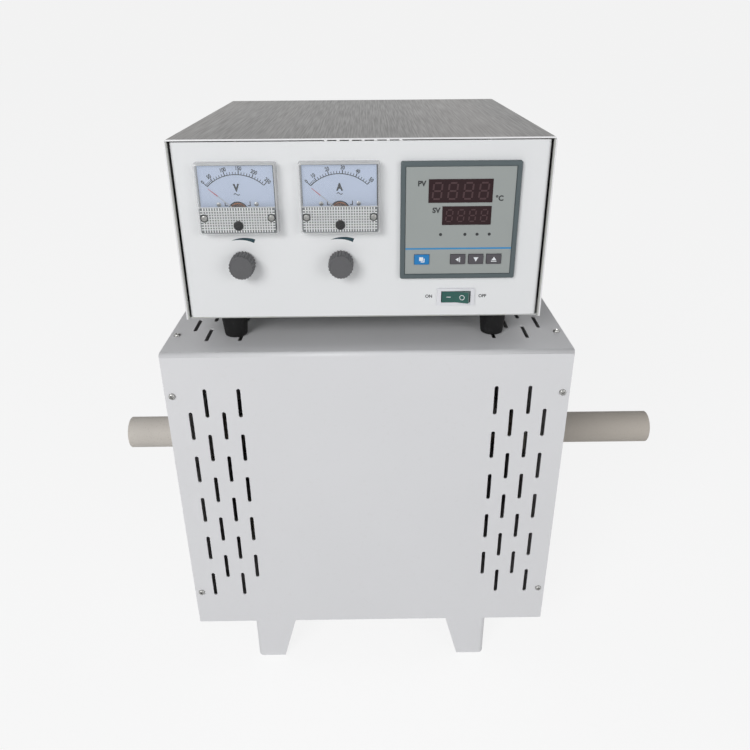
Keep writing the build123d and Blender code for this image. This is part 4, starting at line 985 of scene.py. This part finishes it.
def needle_shape():
    """Tapering needle on its hub and spindle, resting on the start of the scale."""
    root = [(-5, 0.75), (-1, 0.45), (2, 0.42), (20, 0.28), (20, -0.28), (2, -0.42), (-1, -0.45), (-5, -0.75)]
    inner = slab(root, 6.12, 6.42, needle_pale)
    tip = slab([(20, 0.28), (29, 0.12), (29, -0.12), (20, -0.28)], 6.12, 6.42, needle_red)
    rest = turned_by(radians(140), 4, "Z")
    profile = [(0, 2.8), (0.7, 2.8), (0.7, 6.1), (2.3, 6.1), (2.3, 6.7), (1.9, 7.0), (0.9, 7.1)]
    profile += [(0.6, 7.5), (0, 7.6)]
    hub = turned(profile, zero_black, sides=28)
    weight = turned([(0, 5.95), (0.9, 5.95), (0.9, 6.6), (0, 6.6)], zero_black, sides=16)
    return joined((inner, rest), (tip, rest.copy()), hub, (weight, rest @ moved_by((-4.4, 0, 0))))


def adjuster_shape():
    """Round zero adjuster with a slot, its shaft and off-centre pin behind."""
    profile = [(0, 10.62), (3.6, 10.62), (3.9, 10.7), (3.9, 11.5), (3.6, 12.0), (3.0, 12.2), (0, 12.2)]
    head = turned(profile, zero_black, sides=40)
    groove = slab(rounded(6.2, 0.9, 0.3), 12.17, 12.22, meter_black)
    shaft = turned([(0, 7.0), (1.5, 7.0), (1.6, 7.2), (1.6, 10.65), (0, 10.65)], zero_black, sides=24)
    pin = turned([(0, 6.1), (0.5, 6.1), (0.5, 7.1), (0, 7.1)], zero_black, sides=12)
    return joined(head, (groove, turned_by(radians(28), 4, "Z")), shaft, (pin, moved_by((0, 1, 0))))


for meter, step, letter in (("voltmeter", 50, "V"), ("ammeter", 10, "A")):
    centre = meters[meter]
    scale_plane = on_panel(centre, 0, scale_height, dial_level)
    piece(meter + "_scale", dial_marks(step, letter), "controller", place=scale_plane)

    front = joined(window_shell(), frosted_field())
    piece(meter + "_front", front, "controller", [meter + "_window"], place=on_panel(centre))

    piece(meter + "_pointer", needle_shape(), meter + "_needle", [meter + "_needle"],
          place=on_panel(centre, 0, pivot_height))

    piece(meter + "_adjuster", adjuster_shape(), meter + "_zero", [meter + "_zero"],
          place=on_panel(centre, 0, adjuster_height))

    coil = grown(hairspring, [(0, 0, 0)], {"Finish": coil_copper})
    rim = turned([(6.4, 5.0), (7.3, 5.0), (7.3, 5.5), (6.4, 5.5)], coil_copper, sides=40, closed=True)
    screw = pan_head(1.8, 0.6, 0.9, 0.3)
    dial_screws = copies(screw, [(-15, 6.2), (15, 6.2)], screw_steel, 1.5, 3)
    made = joined((coil, moved_by((0, 0, 5.2))), rim, (dial_screws, moved_by((0, 0, 5.8))))
    piece(meter + "_movement", made, "controller", place=on_panel(centre, 0, pivot_height))

template = pan_head(2.4, 1.2, 1.25, 10.3)
spots = [(centre.x + side * screw_side, centre.z + screw_height, 0)
         for centre in meters.values() for side in (-1, 1)]
heads = copies(template, spots, screw_steel, 1.5, 5)
ring = turned([(2.5, 0.1), (3.2, 0.1), (3.2, 0.45), (2.5, 0.45)], meter_black, sides=28, closed=True)
rings = copies(ring, spots, meter_black)
piece("meter_screw_set", joined(heads, rings), "controller", ["meter_screws"],
      place=facing((0, panel_y - meter_front, 0), (0, -1, 0)))


# Knobs


def fluted_knob():
    """Moulded knob: fluted skirt, rounded edge and a dished cap, hollow behind."""
    profile = [
        (3.0, 14.0), (3.0, 7.0), (8.2, 7.0), (8.2, 0.8), (10.0, 0.8), (10.5, 1.2), (10.4, 13.6), (10.1, 14.9),
        (9.4, 15.6), (8.9, 15.8), (8.5, 15.7), (8.3, 15.45), (4.0, 15.5), (0, 15.5),
    ]

    def flute(r, h, k):
        return r - (0.0, 0.42, 0.9, 0.42)[k % 4] if r > 9.5 and h < 15 else r

    return turned([(0, 14.0)] + profile, knob_grey, sides=96, flute=flute)


for knob, centre in knobs.items():
    piece(knob + "_grip", fluted_knob(), knob, [knob], place=on_panel(centre))


# Printed marks on the panel


def crescent():
    """Printed crescent over a knob, thin at the left and broad at the right."""
    count = 18

    def bow(a, b, c):
        shares = [k / count for k in range(count + 1)]
        return [[(1 - t) ** 2 * a[i] + 2 * t * (1 - t) * b[i] + t * t * c[i] for i in (0, 1)] for t in shares]

    outer = bow((-10.0, 0.0), (-0.5, 4.2), (9.8, 1.0))
    inner = bow((8.6, -2.1), (0.5, 1.9), (-10.0, 0.0))
    return slab(outer + inner[:-1], 0.0, 0.05, print_teal)


parts = [(crescent(), on_panel(Vector((knob.x, 0, cover_low.z)), 1.5, 68.7, 0.01)) for knob in knobs.values()]
piece("printed_crescents", joined(*parts), "controller")

parts = [(lettering(word, 2.6, print_black, 0.05), on_panel(switch, u, 0, 0.02))
         for word, u in (("ON", -23.0), ("OFF", 23.0))]
piece("switch_words", joined(*parts), "controller")


# Regulator


def frame_moulding():
    """Square frame with rounded outer and inner edges."""
    rings = [at_level(rounded(88, 88, 0.6), 0.0), at_level(rounded(96, 96, 1.5), 0.0)]
    rings += rounded_edge(96, 96, 1.5, 1.0, 4.0)
    rings += [at_level(rounded(88.8, 88.8, 0.8), 4.0), at_level(rounded(88, 88, 0.6), 3.5)]
    return from_rings(rings, frame_grey, closed=True)


piece("regulator_surround", frame_moulding(), "controller", ["regulator_bezel"],
      place=on_panel(regulator))


def segments(centre, digits, pitch, width, height):
    """Unlit segments of a row of figures."""
    points = []
    for i in range(digits):
        x = centre[0] + pitch * (i - (digits - 1) / 2)
        y = centre[1]
        points += [(x, y + s * height / 2, 0.0) for s in (-1, 0, 1)]
        points += [(x + sx * width / 2, y + sy * height / 4, 1.0) for sx in (-1, 1) for sy in (-1, 1)]
    values = {
        "Bar Length": width - 1.6, "Upright Length": height / 2 - 1.6, "Bar Width": height / 9,
        "Bar Height": 0.03, "Level": 0.0, "Finish": digit_red,
    }
    made = grown(bars, points, values)
    lean = Matrix(((1, 0.09, 0, -0.09 * centre[1]), (0, 1, 0, 0), (0, 0, 1, 0), (0, 0, 0, 1)))
    made.transform(lean)
    return made


face_level = proud("regulator_face")
in_window = on_panel(regulator, 0, 0, proud("process_window") + 0.02)
rows = (segments((0, 24.8), 4, 12.4, 6.8, 12.6), segments((5.7, 5.0), 4, 9.4, 5.0, 9.4))
made = joined(*[(row, in_window) for row in rows])
piece("display_figures", made, "controller")

printed = []
for word, size, u, v in (("PV", 4.0, -31.2, 30.6), ("SV", 4.0, -19.1, 9.2), ("°C", 4.0, 31.4, 18.5)):
    printed.append((lettering(word, size, print_black, 0.06), on_panel(regulator, u, v, face_level + 0.02)))
dot = turned([(0, 0), (1.3, 0), (1.3, 0.06), (0, 0.06)], print_black, sides=20)
lamps = copies(dot, [(u, -10.5) for u in (-15, 5, 15, 25)], print_black)
printed.append((lamps, on_panel(regulator, 0, 0, face_level)))
line = slab([(-43.7, -0.7), (43.7, -0.7), (43.7, 0.7), (-43.7, 0.7)], 0.0, 0.04, print_blue)
printed.append((line, on_panel(regulator, 0, -22.3, face_level)))
piece("regulator_print", joined(*printed), "controller")

symbols = {
    "set_key": [[(-2.2, 2.2), (-2.2, -1.0), (1.0, -1.0), (1.0, 2.2)],
                [(-0.8, -1.4), (1.5, -1.4), (1.5, 1.0), (2.3, 1.0), (2.3, -2.2), (-0.8, -2.2)]],
    "shift_key": [[(-2.0, 0), (0.6, 1.7), (0.6, -1.7)], [(1.2, 2.2), (1.9, 2.2), (1.9, -2.2), (1.2, -2.2)]],
    "down_key": [[(-2.1, 1.8), (2.1, 1.8), (0, -1.9)]],
    "up_key": [[(-2.1, -0.9), (2.1, -0.9), (0, 2.1)], [(-2.3, -1.5), (2.3, -1.5), (2.3, -2.1), (-2.3, -2.1)]],
}
key_size, key_corner = (12.4, 8.4), 0.9
for key, outlines in symbols.items():
    centre = middle(key)
    top = proud(key)
    material = key_blue if key == "set_key" else key_grey
    slot = "key_blue" if key == "set_key" else "key_grey"
    sole = at_level(rounded(*key_size, key_corner), top - 1.8)
    cap = from_rings([sole] + rounded_edge(*key_size, key_corner, 0.5, top, 1.0), material)
    parts = [cap] + [slab(outline, top, top + 0.03, print_white) for outline in outlines]
    piece(key + "_cap", joined(*parts), key, [key], place=on_panel(centre))

# Marks on the rocker: a bar on the pressed half, a ring on the proud half
tilt, fold_x, face_rise, ring_reach = radians(18), -0.532, 2.358, 5.9
bar = slab(rounded(3.6, 0.6, 0.25), 0.0, 0.04, print_white)
ring = turned([(1.75, 0), (2.25, 0), (2.25, 0.04), (1.75, 0.04)], print_white, sides=36, closed=True)
ring_x = switch.x + fold_x + ring_reach * cos(tilt)
ring_y = panel_y - face_rise - ring_reach * sin(tilt) - 0.01
ring_place = facing((ring_x, ring_y, switch.z), (-sin(tilt), -cos(tilt), 0))
made = joined((bar, on_panel(switch, -6.2, 0, face_rise + 0.01)), (ring, ring_place))
piece("rocker_marks", made, "switch_rocker")


# Floor, light and camera


def seen_rays(tree):
    """1 for rays from the camera, for mirrored ones and for those through clear pieces."""
    path = add(tree, "ShaderNodeLightPath").outputs
    seen = calc(tree, "MAXIMUM", path["Is Camera Ray"], path["Is Glossy Ray"])
    return calc(tree, "MAXIMUM", seen, path["Is Transmission Ray"])


world = bpy.data.worlds.new("studio")
scene.world = world
tree = bare_tree(world)
seen = seen_rays(tree)
soft = put(tree, "ShaderNodeBackground", {"Color": (0.96, 0.98, 1.0, 1.0), "Strength": 0.25})
pale = put(tree, "ShaderNodeBackground", {"Color": (0.89, 0.89, 0.89, 1.0), "Strength": 1.0})
sky = put(tree, "ShaderNodeMixShader", {0: seen, 1: soft, 2: pale})
add(tree, "ShaderNodeOutputWorld", {"Surface": sky})

floor_paper = bpy.data.materials.new("floor_paper")
tree = bare_tree(floor_paper)
share = calc(tree, "MULTIPLY", seen_rays(tree), 0.86)
paper = put(tree, "ShaderNodeBsdfDiffuse", {"Color": (0.86, 0.86, 0.86, 1.0)})
glow = put(tree, "ShaderNodeEmission", {"Color": (1.0, 1.0, 1.0, 1.0), "Strength": 1.0})
surface = put(tree, "ShaderNodeMixShader", {0: share, 1: paper, 2: glow})
add(tree, "ShaderNodeOutputMaterial", {"Surface": surface})
floor_mesh = bpy.data.meshes.new("floor")
floor_mesh.from_pydata([(-9, -9, 0), (9, -9, 0), (9, 14, 0), (-9, 14, 0)], [], [(0, 1, 2, 3)])
floor_mesh.materials.append(floor_paper)
in_scene("floor", floor_mesh)


def lamp(name, place, width, height, energy):
    """Soft rectangular light that points at the casing."""
    light = bpy.data.lights.new(name, "AREA")
    light.shape = "RECTANGLE"
    light.size, light.size_y = width, height
    light.energy = energy
    holder = in_scene(name, light)
    holder.location = place
    holder.rotation_euler = (Vector((0, 0, 0.3)) - Vector(place)).to_track_quat("-Z", "Y").to_euler()


lamp("key_light", (-1.35, -2.6, 1.7), 1.4, 1.2, 48)
lamp("fill_light", (2.0, -2.5, 1.1), 1.6, 1.3, 19)

# Camera as fitted to the photo: its turns, its place in metres and its reach in pixels
pitch, yaw, roll = radians(26.406), radians(0.454), radians(-0.435)
camera_place = (0.002242, -0.712414, 0.616146)
focal_pixels, photo_pixels, sensor_width = 704.671, 750, 36
ahead = Vector((sin(yaw) * cos(pitch), cos(yaw) * cos(pitch), -sin(pitch)))
level = Vector((cos(yaw), -sin(yaw), 0))
upward = level.cross(ahead)
right = level * cos(roll) + upward * sin(roll)
above = -level * sin(roll) + upward * cos(roll)
camera_data = bpy.data.cameras.new("camera")
camera_data.sensor_width = sensor_width
camera_data.sensor_fit = "HORIZONTAL"
camera_data.lens = focal_pixels * sensor_width / photo_pixels
camera = in_scene("camera", camera_data)
turned_to = Matrix((right, above, -ahead)).transposed().to_4x4()
camera.matrix_world = moved_by(camera_place) @ turned_to
scene.camera = camera
scene.view_settings.view_transform = "Standard"
